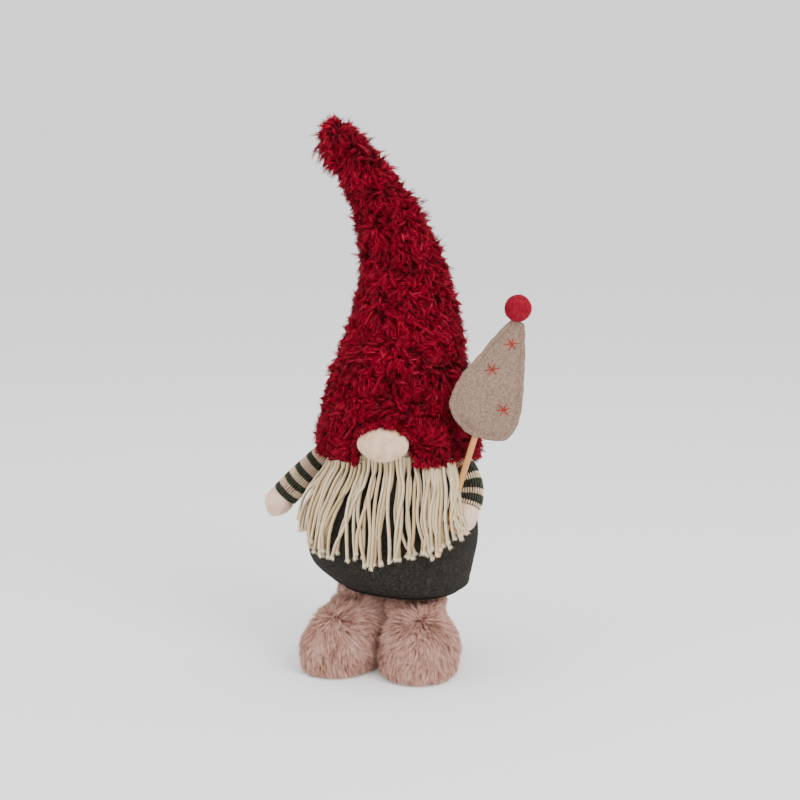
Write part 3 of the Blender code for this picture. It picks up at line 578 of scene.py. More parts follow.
def fringe_point(u, t):
    """Inner face of the cord layer: u across from the gnome's right, t from the tape down."""
    u, t = np.asarray(u, float), np.asarray(t, float)
    z = 194.0 + (interp(FRINGE_FOOT, u) - 194.0) * t
    top = FRINGE_LEFT_DEG + (FRINGE_RIGHT_DEG - FRINGE_LEFT_DEG) * u
    deg = top + (interp(FRINGE_FOOT_DEG, u) - top) * smooth(t * 1.05)
    a = np.radians(deg)
    r, depth, lean = body_radius(z), body_depth(z), body_lean(z)
    edge = 1.0 / np.hypot(np.sin(a) / (r + 1.8), np.cos(a) / (r * depth + 1.8))
    edge = np.maximum(edge, 60.4 - 0.22 * np.maximum(0.0, 186.0 - z))
    x, y = lean + edge * np.sin(a), -edge * np.cos(a)
    over = smooth((x - 22) / 26) * smooth((188 - z) / 22)
    front = -58.6 - 9.6 * smooth((168 - z) / 32)
    y = y + np.minimum(0.0, front - y) * over
    x = x + 8.0 * smooth((u - 0.8) / 0.2) * smooth(t / 0.12) * (1 - over)
    x = x + 10.0 * over * smooth((u - 0.75) / 0.25) + 16.0 * over * np.clip((u - 0.82) / 0.18, 0, 1) ** 1.5 * t**1.7
    x = x - 5.0 * smooth((0.2 - u) / 0.2) * smooth(t) * (u < 0.2)
    return np.stack([x, y, z], -1)


CORD_D = 3.1
CORDS_FRONT, CORDS_BACK = 40, 22
CORD_STEPS = 30


def away_from_line(p, a, b, radius):
    """Pushes points out of a round bar from a to b."""
    ab = b - a
    t = np.clip(((p - a) @ ab) / (ab @ ab), 0, 1)
    near = a + t[..., None] * ab
    off = p - near
    d = np.linalg.norm(off, axis=-1, keepdims=True)
    push = np.maximum(radius - d, 0.0)
    way = off / np.maximum(d, 1e-6)
    way = np.where(d < 0.4 * radius, np.array((0.0, -1.0, 0.0)), way)
    return p + way * push


def hang_cords():
    """Centrelines of the beard's cords, in mm, hung over the body, the stick and the hand, each clear of the others."""
    r = np.random.default_rng(41)
    rows, loose = [], []
    for layer, (count, first, last) in enumerate(((CORDS_FRONT, 0.008, 0.992), (CORDS_BACK, 0.03, 0.97))):
        ruler = np.linspace(0, 1, 400)
        crowd = np.cumsum(1 + 0.9 * smooth((ruler - 0.78) / 0.1))
        u = np.interp(np.linspace(first, last, count), crowd / crowd[-1], ruler) + r.normal(0, 0.005, count)
        # sewn on in small bunches, so gaps open between them lower down
        bunch = 0.008 * np.sin(u * 2 * math.pi * 5.3 + 0.6 + 0.5 * layer) + 0.007 * np.sin(u * 2 * math.pi * 12.3 + 2.0)
        sway = r.normal(0, 0.016, count) + bunch * 1.5
        stray = r.random(count) < (0.42 if layer == 0 else 0.5)
        sway = sway + np.where(stray, r.choice((-1.0, 1.0), count) * r.uniform(0.04, 0.115, count), 0.0) * (0.45 + 0.55 * smooth((u - 0.2) / 0.2))
        sway = sway * smooth((u - 0.02) / 0.08) * smooth((0.99 - u) / 0.06)
        drop = np.clip(r.normal(-0.035, 0.032, count), -0.11, 0.02)
        for k in range(count):
            t = np.linspace(0.0, 1.0 + drop[k], CORD_STEPS)
            bend = smooth(t * 0.95) * (0.55 + 0.45 * t)
            p = fringe_point(np.clip(u[k] + bunch[k] * 0.5 + sway[k] * bend, 0.0, 1.0), t)
            p[:, 0] += r.normal(0, 2.1) * np.sin(t * math.pi * r.uniform(1.2, 2.6)) * smooth(t * 3)
            level, out = body_level(p)
            over = smooth((u[k] - 0.8) / 0.12)
            lift = (1.9 + 3.3 * (1 - layer)) * smooth(t * 4 + 0.35)
            p = p + out * (lift * (1 - over))[:, None] + np.array((0.0, -1.0, 0.0)) * (lift * over)[:, None]
            rows.append(p)
            loose.append(1 - over)
    lines, loose = np.array(rows), np.array(loose)
    cords, steps = lines.shape[:2]
    segment = np.linalg.norm(np.diff(lines, axis=1), axis=-1).mean(1)
    goal = lines.copy()
    who = np.repeat(np.arange(cords), steps)
    hand = np.array([h[:3] for h in LEFT_HAND])
    pairs = None
    for turn in range(150):
        q = lines
        q[:, 1:-1] += 0.2 * (0.5 * (q[:, 2:] + q[:, :-2]) - q[:, 1:-1])
        inward = body_level(q)[1]
        q[:, 3:] += (-0.10 * inward[:, 3:] + np.array((0, 0, -0.05))) * loose[:, None, None]
        hold = 0.03 + 0.35 * (1 - loose)
        q[:, 3:] += hold[:, None, None] * np.array((1, 1, 0.3)) * (goal[:, 3:] - q[:, 3:])
        flat = q.reshape(-1, 3)
        if turn % 6 == 0:
            found = []
            for a in range(0, len(flat), 600):
                d2 = ((flat[a:a + 600, None] - flat[None]) ** 2).sum(-1)
                i, j = np.nonzero(d2 < 49.0)
                i = i + a
                keep = (i < j) & (who[i] != who[j])
                found.append(np.stack([i[keep], j[keep]], -1))
            pairs = np.concatenate(found)
        i, j = pairs.T
        off = flat[i] - flat[j]
        d = np.linalg.norm(off, axis=-1)
        close = d < CORD_D
        i, j, off, d = i[close], j[close], off[close], d[close]
        push = off / np.maximum(d, 1e-6)[:, None] * (0.5 * (CORD_D - d) * 0.7)[:, None]
        move = np.zeros_like(flat)
        weight = np.zeros(len(flat))
        np.add.at(move, i, push)
        np.add.at(move, j, -push)
        np.add.at(weight, i, 1.0)
        np.add.at(weight, j, 1.0)
        flat = flat + move / np.maximum(weight * 0.6, 1.0)[:, None]
        q = flat.reshape(cords, steps, 3)
        # in front of the stick, and over the hand
        height = np.clip((q[..., 2] - STICK_TIP[2]) / STICK_AXIS[2], -2.0, 55.0)
        bar = STICK_TIP + height[..., None] * STICK_AXIS
        beside = np.abs(q[..., 0] - bar[..., 0])
        room = np.sqrt(np.clip((STICK_R + CORD_D / 2 + 0.2) ** 2 - beside**2, 0, None))
        crossing = (beside < STICK_R + CORD_D / 2 + 0.2) & (q[..., 2] < 160) & (q[..., 2] > STICK_TIP[2] - 2)
        q[..., 1] = np.where(crossing, np.minimum(q[..., 1], bar[..., 1] - room), q[..., 1])
        for a, b, rad in zip(hand, hand[1:], (11.9, 11.7, 11.0, 9.0)):
            q = away_from_line(q, a, b, rad + CORD_D / 2)
        level, out = body_level(q)
        need = CORD_D / 2 + 0.25
        q = q + out * np.maximum(need - level, 0.0)[..., None]
        q[:, :2] = goal[:, :2]
        for k in range(1, steps):
            step = q[:, k] - q[:, k - 1]
            length = np.linalg.norm(step, axis=-1, keepdims=True)
            q[:, k] = q[:, k - 1] + step / length * (0.35 * length + 0.65 * segment[:, None])
        lines = q
    return lines


PLIES = 7
LAY_LENGTH = 11.5  # one full turn of the twist


def cord_mesh(line, seed):
    """A twisted cotton cord along a line in mm: seven plies, a slightly opened end and its fray."""
    r = np.random.default_rng(seed)
    length = np.linalg.norm(np.diff(line, axis=0), axis=1).sum()
    rings = int(length / 1.15) + 2
    path = catmull(line, rings)
    ahead, a, b = frames_along(path)
    s = np.linspace(0, length, rings)
    per = PLIES * 3
    th = np.linspace(0, 2 * math.pi, per, endpoint=False)
    lobe = np.tile((0.73, 0.975, 0.975), PLIES)
    # the end opens out over the last few millimetres
    opened = smooth((s - (length - 4.5)) / 4.5)
    thick = CORD_D / 2 * (1 + 0.035 * np.sin(s * 0.55 + r.uniform(0, 6)) + 0.025 * np.sin(s * 1.3 + r.uniform(0, 6))) * (1 + 0.2 * opened)
    twist = 2 * math.pi * s / LAY_LENGTH + r.uniform(0, 6.28)
    ang = th[None] + twist[:, None]
    depth = 1 - (1 - lobe)[None] * (1 + 1.2 * opened[:, None])
    rad = thick[:, None] * depth * (1 + r.normal(0, 0.012, (rings, per)))
    ring = path[:, None] + (a[:, None] * np.cos(ang)[..., None] + b[:, None] * np.sin(ang)[..., None]) * rad[..., None]
    verts = [ring.reshape(-1, 3), path[:1], path[-1:] + ahead[-1:] * 0.6]
    n = rings * per
    i = np.arange(per)
    j = (i + 1) % per
    top = (rings - 1) * per
    quads = [grid_faces(rings, per, True)]
    tris = [np.stack([np.full(per, n), j, i], -1), np.stack([np.full(per, n + 1), top + i, top + j], -1)]
    # every third strip of faces, running into the valley between two plies, takes the dark groove cotton: painted shade
    slots_q = [np.where(np.arange(len(quads[0])) % 3 == 2, 2, 0)]
    # the fray: thin loose fibres past the cut end
    count = 46
    ang = r.uniform(0, 2 * math.pi, count)
    out = np.sqrt(r.uniform(0.02, 1.0, count)) * CORD_D / 2 * 1.12
    radial = a[-1] * np.cos(ang)[:, None] + b[-1] * np.sin(ang)[:, None]
    root = path[-1] - ahead[-1] * r.uniform(0.6, 2.6, (count, 1)) + radial * out[:, None]
    flare = radial * (r.uniform(0.1, 0.7, (count, 1))) + ahead[-1] + r.normal(0, 0.12, (count, 3))
    t = np.linspace(0, 1, 4)
    span = r.uniform(2.4, 4.0, (count, 1, 1))
    fine = root[:, None] + span * t[None, :, None] * unit(flare)[:, None] + (t**2)[None, :, None] * r.normal(0, 0.26, (count, 1, 3))
    gone = np.linalg.norm(fine - path[-1], axis=-1, keepdims=True)
    fine = path[-1] + (fine - path[-1]) * np.minimum(1.0, 3.8 / np.maximum(gone, 1e-6))
    side = unit(np.cross(unit(flare), radial))[:, None].repeat(4, 1)
    fv, fq, ft = ribbons(fine, side, np.tile((0.42, 0.36, 0.24), (count, 1)))
    base = sum(len(v) for v in verts)
    verts.append(fv)
    quads.append(fq + base)
    tris.append(ft + base)
    slots_q.append(np.ones(len(fq), int))
    verts = np.concatenate(verts)
    quads = np.concatenate(quads)
    tris_all = np.concatenate(tris)
    slots = np.concatenate([*slots_q, np.zeros(2 * per, int), np.ones(len(ft), int)])
    return verts, quads, tris_all, slots, path


CORD_LINES = hang_cords()
declared = set(range(CORDS_FRONT))
spare = []
for k, line in enumerate(CORD_LINES):
    verts, quads, tris, slots, path = cord_mesh(line, 1000 + k)
    shade = COTTON[(0, 0, 1, 0, 2, 1, 0)[(k * 5) % 7]]
    if k not in declared:
        spare.append((verts, quads, tris, slots, (k * 5) % 3))
        continue
    obj = build(f"beard_cord_{k:02d}", metres(verts), [quads, tris], [shade, COTTON[3], COTTON[4]], slots)
    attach(obj, "root")
    if k == 0:
        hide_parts("beard_fringe")
offset, vs, qs, ts, sq, st = 0, [], [], [], [], []
for verts, quads, tris, slots, shade in spare:
    vs.append(verts)
    qs.append(quads + offset)
    ts.append(tris + offset)
    # slot 2, the ply valleys, maps to the dark groove cotton, painted shade
    colour = np.where(slots == 1, 3, np.where(slots == 2, 4, shade))
    sq.append(colour[:len(quads)])
    st.append(colour[len(quads):])
    offset += len(verts)
under_cords = build("beard_cords_behind", metres(np.concatenate(vs)), [np.concatenate(qs), np.concatenate(ts)], COTTON, np.concatenate(sq + st))
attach(under_cords, "root")

# the tape that the cords are sewn to
deg = np.radians(np.linspace(-70, 60, 60))
band = []
for radius, z in ((58.2, 187.5), (60.2, 187.5), (60.4, 190.0), (60.2, 192.6), (60.4, 195.2), (60.2, 198.0), (58.2, 198.0), (58.2, 187.5)):
    band.append(np.stack([6.0 + radius * np.sin(deg), -radius * np.cos(deg), np.full_like(deg, z)], -1))
tape = skin("header_tape", np.array(band), [TAPE], wrap=False)
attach(tape, "root")
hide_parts("beard_header_tape")

# ------------------------------------------------------------------ body


def swell(obj, voxel, pressure, cap, steps=20):
    """Fills a closed soft shape: cloth under inner pressure, no point moving further than cap."""
    remesh = obj.modifiers.new("remesh", "REMESH")
    remesh.mode = "VOXEL"
    remesh.voxel_size = voxel
    keep = obj.data.materials[:]
    bpy.context.view_layer.update()
    graph = bpy.context.evaluated_depsgraph_get()
    mesh = bpy.data.meshes.new_from_object(obj.evaluated_get(graph))
    obj.modifiers.clear()
    obj.data = mesh
    before = np.empty(len(mesh.vertices) * 3)
    mesh.vertices.foreach_get("co", before)
    before = before.reshape(-1, 3)
    cloth = obj.modifiers.new("cloth", "CLOTH")
    s = cloth.settings
    s.quality = 6
    s.mass = 0.15
    s.tension_stiffness = s.compression_stiffness = 40.0
    s.bending_stiffness = 8.0
    s.use_pressure = True
    s.uniform_pressure_force = pressure
    s.effector_weights.gravity = 0.0
    cloth.collision_settings.use_collision = False
    cloth.point_cache.frame_start, cloth.point_cache.frame_end = 1, steps
    for f in range(1, steps + 1):
        SCENE.frame_set(f)
    graph = bpy.context.evaluated_depsgraph_get()
    after = obj.evaluated_get(graph).to_mesh()
    moved = np.empty(len(after.vertices) * 3)
    after.vertices.foreach_get("co", moved)
    moved = moved.reshape(-1, 3) - before
    obj.evaluated_get(graph).to_mesh_clear()
    obj.modifiers.clear()
    size = np.linalg.norm(moved, axis=1, keepdims=True)
    moved = np.nan_to_num(moved) * np.minimum(1.0, cap / np.maximum(size, 1e-9))
    mesh.vertices.foreach_set("co", (before + moved).ravel())
    sub = obj.modifiers.new("sub", "SUBSURF")
    sub.levels = sub.render_levels = 1
    bpy.context.view_layer.update()
    graph = bpy.context.evaluated_depsgraph_get()
    obj.data = bpy.data.meshes.new_from_object(obj.evaluated_get(graph))
    obj.modifiers.clear()
    obj.data.materials.clear()
    for m in keep:
        obj.data.materials.append(m)
    obj.data.shade_smooth()
    SCENE.frame_set(1)


def body_ring(r, z, count=96, less=0.0):
    a = np.linspace(0, 2 * math.pi, count, endpoint=False)
    rr = r - less
    return np.stack([body_lean(z) + rr * np.sin(a), -rr * np.cos(a) * body_depth(z), np.full_like(a, z)], -1)


def settle(points):
    """The sack's foot sits a little over to the gnome's left, squarer there and higher on the other side."""
    k = smooth((96 - points[:, 2]) / 34)
    side = smooth((points[:, 0] + 40) / 90)
    a = np.arctan2(points[:, 0], -points[:, 1])
    corner = 3.6 * np.exp(-((points[:, 2] - 68.0) / 6.5) ** 2) * smooth(points[:, 0] / 35)
    out = np.stack([np.sin(a), -np.cos(a), np.zeros_like(a)], -1)
    moved = points + out * corner[:, None]
    moved[:, 0] += 1.8 * k
    moved[:, 2] += 3.4 * k * (1 - side)
    return moved


START_LESS = 1.2
profile = catmull([(r, z) for r, z in BODY_PROFILE], 54)
rings = [body_ring(r, z, less=START_LESS) for r, z in profile]
sack = skin("body_sack", rings, [CHARCOAL], cap_first=True, cap_last=True)
swell(sack, 0.005, 4.0, 0.0022)
co = np.empty(len(sack.data.vertices) * 3, np.float32)
sack.data.vertices.foreach_get("co", co)
co = co.reshape(-1, 3)
mm = co * 1000 - SHIFT
# the filling settles a little unevenly, and the foot seam stands as a low ridge
level, out = body_level(mm)
mm += out * (0.45 * waves(mm, 55.0, 5) * smooth((200 - mm[:, 2]) / 20) * smooth((mm[:, 2] - 66) / 10))[:, None]
mm[:, 2] = np.maximum(mm[:, 2], 63.4)
mm = settle(mm)
sack.data.vertices.foreach_set("co", metres(mm).astype(np.float32).ravel())
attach(sack, "root")
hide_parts("body_side_felt", "body_stuffing", "body_pellet_bag")

base = [body_ring(r, z, 96) for r, z in ((52.5, 65.4), (51.5, 64.0), (49.0, 63.3), (44.0, 63.2), (22.0, 63.2))]
foot = skin("body_base_disc", [settle(ring) for ring in base], [CHARCOAL], cap_last=True)
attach(foot, "root")
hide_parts("body_base_felt")

# ------------------------------------------------------------------ fuzz: loose fibres on felt and fleece


def fuzz(name, points, normals, length, width, finish, seed, lean=0.9):
    """Short curled fibres standing off a surface, in mm."""
    r = np.random.default_rng(seed)
    n = len(points)
    d0 = unit(normals + lean * r.normal(size=(n, 3)))
    d1 = unit(d0 + 0.9 * r.normal(size=(n, 3)))
    t = np.linspace(0, 1, 4)
    size = length * r.uniform(0.5, 1.25, (n, 1, 1))
    line = (points - normals * 0.15)[:, None] + size * (t[None, :, None] * d0[:, None] + (t**2)[None, :, None] * 0.5 * (d1 - d0)[:, None])
    side = unit(np.cross(d0, normals) + 1e-4)[:, None].repeat(4, 1)
    return blade_object(name, line, side, np.tile((width, width * 0.8, width * 0.5), (n, 1)), [finish], np.zeros((n, 3), int))


def scatter(obj, count, seed):
    """Random points on an object's surface, in mm, with its normals there."""
    mesh = obj.data
    mesh.calc_loop_triangles()
    m = len(mesh.loop_triangles)
    tri = np.empty(m * 3, np.int32)
    mesh.loop_triangles.foreach_get("vertices", tri)
    tri = tri.reshape(-1, 3)
    co = np.empty(len(mesh.vertices) * 3, np.float32)
    mesh.vertices.foreach_get("co", co)
    world = np.array(obj.matrix_world)
    co = co.reshape(-1, 3) @ world[:3, :3].T + world[:3, 3]
    a, b, c = co[tri[:, 0]], co[tri[:, 1]], co[tri[:, 2]]
    cross = np.cross(b - a, c - a)
    area = np.linalg.norm(cross, axis=1)
    r = np.random.default_rng(seed)
    pick = r.choice(m, count, p=area / area.sum())
    u, v = r.random(count), r.random(count)
    flip = u + v > 1
    u, v = np.where(flip, 1 - u, u)[:, None], np.where(flip, 1 - v, v)[:, None]
    p = a[pick] + u * (b[pick] - a[pick]) + v * (c[pick] - a[pick])
    return p * 1000 - SHIFT, unit(cross[pick])


# ------------------------------------------------------------------ hat


def hat_frame(z):
    """Centre, way along, way across (in the hat's plane) and radius at a height."""
    c = np.stack([interp(HAT_AXIS, z), np.zeros_like(z), z], -1)
    e = 0.5
    ahead = unit(np.stack([(interp(HAT_AXIS, z + e) - interp(HAT_AXIS, z - e)) / (2 * e), np.zeros_like(z), np.ones_like(z)], -1))
    across = np.stack([ahead[:, 2], np.zeros_like(z), -ahead[:, 0]], -1)
    return c, ahead, across, interp(HAT_RADIUS, z)


def hat_points(z, a, swell_by=0.0):
    """Points and outward normals on the hat's cloth at heights z and angles a, 0 facing the front."""
    c, ahead, across, r = hat_frame(z)
    radial = across * np.sin(a)[:, None] + np.array((0.0, -1.0, 0.0)) * np.cos(a)[:, None]
    slope = (interp(HAT_RADIUS, z + 0.5) - interp(HAT_RADIUS, z - 0.5))[:, None]
    normal = unit(radial - ahead * slope)
    return c + radial * (r[:, None] + swell_by), normal, ahead


HAT_SPLIT_Z = 345.0


def nose_depth(points, grow):
    """Below 1 inside the nose's egg grown by some mm."""
    return np.linalg.norm((points - NOSE_C) / (NOSE_R + grow), axis=-1)


def hat_skin(name, z0, z1, rows, tip=False, rim=False):
    z = np.linspace(z0, z1, rows)
    a = np.linspace(0, 2 * math.pi, 72, endpoint=False)
    rings = []
    if rim:
        # inside of the brim, seen only from below
        for zz, less in ((212.0, 7.0), (200.0, 4.0), (190.0, 2.6), (187.4, 1.4)):
            p, n, _ = hat_points(np.full_like(a, max(zz, 188.0)), a)
            p = p - n * less
            p[:, 2] = zz
            rings.append(p)
    for zz in z:
        p, n, _ = hat_points(np.full_like(a, zz), a)
        lumps = 1.1 * waves(p, 26.0, 77) - 0.4
        rings.append(p + n * lumps[:, None])
    if tip:
        c, ahead, across, r = hat_frame(np.array([z1]))
        for step, k in ((2.2, 0.9), (4.2, 0.66), (5.4, 0.34)):
            radial = across[0] * np.sin(a)[:, None] + np.array((0.0, -1.0, 0.0)) * np.cos(a)[:, None]
            rings.append(c[0] + ahead[0] * step + radial * r[0] * k)
    rings = np.array(rings)
    if rim:
        # the brim is cut away round the nose
        low = rings[..., 2]
        p = rings.reshape(-1, 3)
        near = (np.abs(p[:, 0] - NOSE_C[0]) < NOSE_R[0] + 1.0) & (p[:, 1] < -40) & (p[:, 2] < NOSE_C[2] + 6)
        lift = NOSE_C[2] + 6 - p[:, 2]
        span = np.sqrt(np.clip(1 - ((p[:, 0] - NOSE_C[0]) / (NOSE_R[0] + 1.0)) ** 2, 0, 1))
        p[:, 2] = np.where(near, p[:, 2] + lift * span, p[:, 2])
        rings = p.reshape(rings.shape)
    # the cloth takes the darkest crimson, painted shade for the gaps between the tufts
    return skin(name, rings, [CRIMSON[0]], cap_last=tip)


lower_cloth = hat_skin("hat_lower_cloth", 188.0, HAT_SPLIT_Z, 60, rim=True)
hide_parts("hat_lower_plush", "hat_lower_stuffing", "hat_middle_plush", "hat_middle_stuffing")
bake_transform(lower_cloth)
upper_cloth = hat_skin("hat_upper_cloth", HAT_SPLIT_Z, 468.0, 46, tip=True)
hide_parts("hat_tip_plush", "hat_tip_stuffing")
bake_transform(upper_cloth)

# the tree's own axes, for keeping the pile off it
TREE_FOOT_AT = STICK_TIP + STICK_AXIS * TREE_FOOT
TREE_ACROSS = np.array((0.93285, 0.20681, -0.295))
TREE_OUT = np.array((0.23056, -0.97189, 0.04773))


def in_tree(points, depth, grow):
    """True for points within depth of the tree's plane and inside its outline grown a little."""
    q = points - TREE_FOOT_AT
    x, d, z = q @ TREE_ACROSS, q @ TREE_OUT, q @ STICK_AXIS
    left = np.interp(z, (-4, 10, 30, 60, 99), (-16, -26, -30, -22, -2)) - grow
    right = np.interp(z, (-4, 10, 30, 60, 99), (20, 29, 32, 25, 11)) + grow
    return (np.abs(d) < depth) & (x > left) & (x < right) & (z > -4 - grow) & (z < 102 + grow)


def pressed(points):
    """True where the tree comes when it slides down or turns, for shorter pile there."""
    q = points - TREE_FOOT_AT
    x, d, z = q @ TREE_ACROSS, q @ TREE_OUT, q @ STICK_AXIS
    hit = np.zeros(len(points), bool)
    for turn in (-15, 0, 30, 60, 90):
        c, s = math.cos(math.radians(turn)), math.sin(math.radians(turn))
        for slide in (-20, 0):
            at = TREE_FOOT_AT + (x * c - d * s)[:, None] * TREE_ACROSS + (d * c + x * s)[:, None] * TREE_OUT + (z - slide)[:, None] * STICK_AXIS
            hit |= in_tree(at, 8.0, 0.0)
    return hit


def plush(name, roots, normals, down, seed, long_, fat, blades=14, grow=1.0, calm=1.0):
    """Shaggy pile: flame-shaped tufts, each a bundle of narrow blades that meet at its tip."""
    r = np.random.default_rng(seed)
    n = len(roots)
    flow = wave_vector(roots, 40.0, 300) * 0.55 + wave_vector(roots, 13.0, 340) * 0.75 + down * 0.5
    flow = unit(flow * calm + down * (1 - calm) - normals * dot(flow * calm + down * (1 - calm), normals))
    lay = r.uniform(0.35, 1.15, (n, 1))
    d0 = unit(normals * 0.95 + flow * lay * 0.75 * calm + r.normal(0, 0.3 * calm, (n, 3)))
    d1 = unit(d0 * (0.5 + 1 - calm) + flow * calm + normals * r.uniform(-0.25, 0.45, (n, 1)) + r.normal(0, 0.45 * calm, (n, 3)) + np.array((0, 0, -0.12)) * calm)
    length = long_ * np.broadcast_to(grow, n)[:, None] * r.uniform(0.72, 1.22, (n, 1)) * (1 + 0.13 * waves(roots, 22.0, 91)[:, None])
    width = fat * r.uniform(0.75, 1.2, (n, 1))
    K = 6
    t = np.linspace(0, 1, K)
    axis = roots[:, None] - normals[:, None] * 0.8 + length[:, None] * (t[None, :, None] * d0[:, None] + (t**2)[None, :, None] * 0.62 * (d1 - d0)[:, None])
    ahead = unit(np.gradient(axis, axis=1))
    across = unit(np.cross(ahead, normals[:, None] + 0.01))
    third = np.cross(ahead, across)
    shape = np.array((0.45, 0.95, 1.06, 0.86, 0.48, 0.08))
    phi = (np.arange(blades) / blades * 2 * math.pi)[None] + r.uniform(0, 6.28, (n, 1)) + r.normal(0, 0.15, (n, blades))
    turn = r.normal(0, 0.9, (n, 1, 1)) + 0.8 * np.sign(r.normal(size=(n, 1, 1)))
    ang = phi[:, :, None] + turn * t[None, None]
    spread = (width[:, :, None] * shape[None, None]) * r.uniform(0.72, 1.18, (n, blades, 1))
    radial = across[:, None] * np.cos(ang)[..., None] + third[:, None] * np.sin(ang)[..., None]
    reach = r.uniform(0.74, 1.1, (n, blades, 1, 1))
    line = axis[:, None] * 1.0
    line = roots[:, None, None] + (line - roots[:, None, None]) * reach + radial * spread[..., None]
    line = line + (t**2)[None, None, :, None] * r.normal(0, 0.75, (n, blades, 1, 3))
    side = unit(np.cross(ahead[:, None].repeat(blades, 1), radial))
    w = (fat * 0.42) * np.array((0.9, 1.0, 0.92, 0.7, 0.4))[None, None] * r.uniform(0.7, 1.25, (n, blades, 1))
    m = n * blades
    line, side, w = line.reshape(m, K, 3), side.reshape(m, K, 3), w.reshape(m, K - 1)
    # painted shade: dark at the foot, lighter out along the tuft, with random clumps of tone
    clump = waves(roots, 30.0, 17)[:, None] * 0.35 + r.normal(0, 0.55, (n, 1))
    value = np.array((-2.4, -0.9, 0.1, 0.75, 1.15))[None, None] + clump[:, :, None] + r.normal(0, 0.45, (n, blades, 1))
    tone = np.clip(np.searchsorted((-1.3, -0.1, 1.15), value), 0, 3)
    # a few blades, past their foot, take the pale pink tone: painted highlight
    tone = np.where((r.random((n, blades, 1)) < 0.022) & (np.arange(K - 1) > 1), 4, tone)
    return blade_object(name, line, side, w, CRIMSON, tone.reshape(m, K - 1))


def hat_roots(z0, z1, step_z, step_a, seed):
    """Evenly scattered places on the hat's cloth between two heights."""
    r = np.random.default_rng(seed)
    zs, As = [], []
    z = z0
    k = 0
    while z < z1:
        radius = float(interp(HAT_RADIUS, min(z, 468.0)))
        slant = math.hypot(1.0, float(interp(HAT_AXIS, z + 1) - interp(HAT_AXIS, z)))
        count = max(5, int(round(2 * math.pi * radius / step_a)))
        a = (np.arange(count) + 0.5 * (k % 2)) / count * 2 * math.pi
        zs.append(np.full(count, z))
        As.append(a)
        z += step_z / slant
        k += 1
    z, a = np.concatenate(zs), np.concatenate(As)
    z = np.clip(z + r.uniform(-0.5, 0.5, len(z)) * step_z, z0, z1)
    radius = interp(HAT_RADIUS, z)
    a = a + r.uniform(-0.5, 0.5, len(a)) * step_a / radius
    return z, a


def hat_pile(tag, z0, z1, seed, step=3.05, long_=12.0, fat=1.75):
    z, a = hat_roots(z0, z1, step * 0.92, step, seed)
    p, n, ahead = hat_points(z, a)
    # none on the nose or under it, and shorter beside it
    q = p + n * 4.0
    keep = nose_depth(q, 1.0) > 1.0
    keep &= ~((np.abs(p[:, 0] - NOSE_C[0]) < NOSE_R[0] - 1.0) & (p[:, 2] < NOSE_C[2] + 3.0) & (p[:, 1] < 0))
    # none where the tree or the stick lies against the hat
    keep &= ~in_tree(p + n * 9.0, 9.0, 1.5)
    off = p + n * 7.0 - STICK_TIP
    along = off @ STICK_AXIS
    gap = np.linalg.norm(off - along[:, None] * STICK_AXIS, axis=1)
    keep &= gap > 6.0
    z, a, p, n, ahead = z[keep], a[keep], p[keep], n[keep], ahead[keep]
    grow = 1 + 0.55 * smooth((z - 425) / 28) * np.clip(-np.sin(a), 0, 1)
    grow = grow - 0.4 * smooth((199 - z) / 7) * smooth((6 - p[:, 0]) / 10) * smooth((p[:, 0] + 56) / 14) * smooth((-20 - p[:, 1]) / 15)
    grow = grow - 0.48 * smooth((199 - z) / 7) * smooth((p[:, 0] - 18) / 8) * smooth((62 - p[:, 0]) / 14) * smooth((-20 - p[:, 1]) / 15)
    grow = np.where(pressed(p + n * 9.0), 0.62 * grow, grow)
    pieces = []
    limit = 1500
    order = np.argsort(np.arctan2(p[:, 0], -p[:, 1]))
    parts = max(1, math.ceil(len(p) / limit))
    for i, chunk in enumerate(np.array_split(order, parts)):
        obj = plush(f"hat_pile_{tag}_{i + 1}", p[chunk], n[chunk], -ahead[chunk], seed * 10 + i, long_, fat, grow=grow[chunk])
        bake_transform(obj)
        pieces.append(obj)
    return pieces


def undercoat(tag, z0, z1, seed):
    """Short dense pile between the tufts, so no cloth shows."""
    r = np.random.default_rng(seed)
    z, a = hat_roots(z0, z1, 2.1, 2.3, seed)
    p, n, ahead = hat_points(z, a)
    q = p + n * 4.0
    keep = (nose_depth(q, 0.5) > 1.0) & ~((np.abs(p[:, 0] - NOSE_C[0]) < NOSE_R[0] - 1.0) & (p[:, 2] < NOSE_C[2] + 3.0) & (p[:, 1] < 0))
    keep &= ~in_tree(p + n * 5.0, 3.5, 0.5)
    p, n = p[keep], n[keep]
    size = len(p)
    copies = 2
    p, n = np.repeat(p, copies, 0), np.repeat(n, copies, 0)
    p = p + r.normal(0, 0.9, p.shape) * (1 - np.abs(n))
    obj = fuzz(f"hat_undercoat_{tag}", p, n, 6.2, 1.7, CRIMSON[1], seed, 0.5)
    obj.data.materials.clear()
    for finish in CRIMSON[:3]:
        obj.data.materials.append(finish)
    # each fibre is darker crimson at its foot than further out: painted shade at the roots
    obj.data.polygons.foreach_set("material_index", np.minimum(np.tile((0, 1, 1), size * copies) + np.repeat(r.integers(0, 2, size * copies), 3), 2).astype(np.int32))
    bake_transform(obj)


hat_pile("lower", 188.5, HAT_SPLIT_Z, 21)
hat_pile("upper", HAT_SPLIT_Z, 468.0, 22, long_=12.5, fat=1.65)
undercoat("lower", 189.0, HAT_SPLIT_Z, 26)
undercoat("upper", HAT_SPLIT_Z, 468.0, 27)

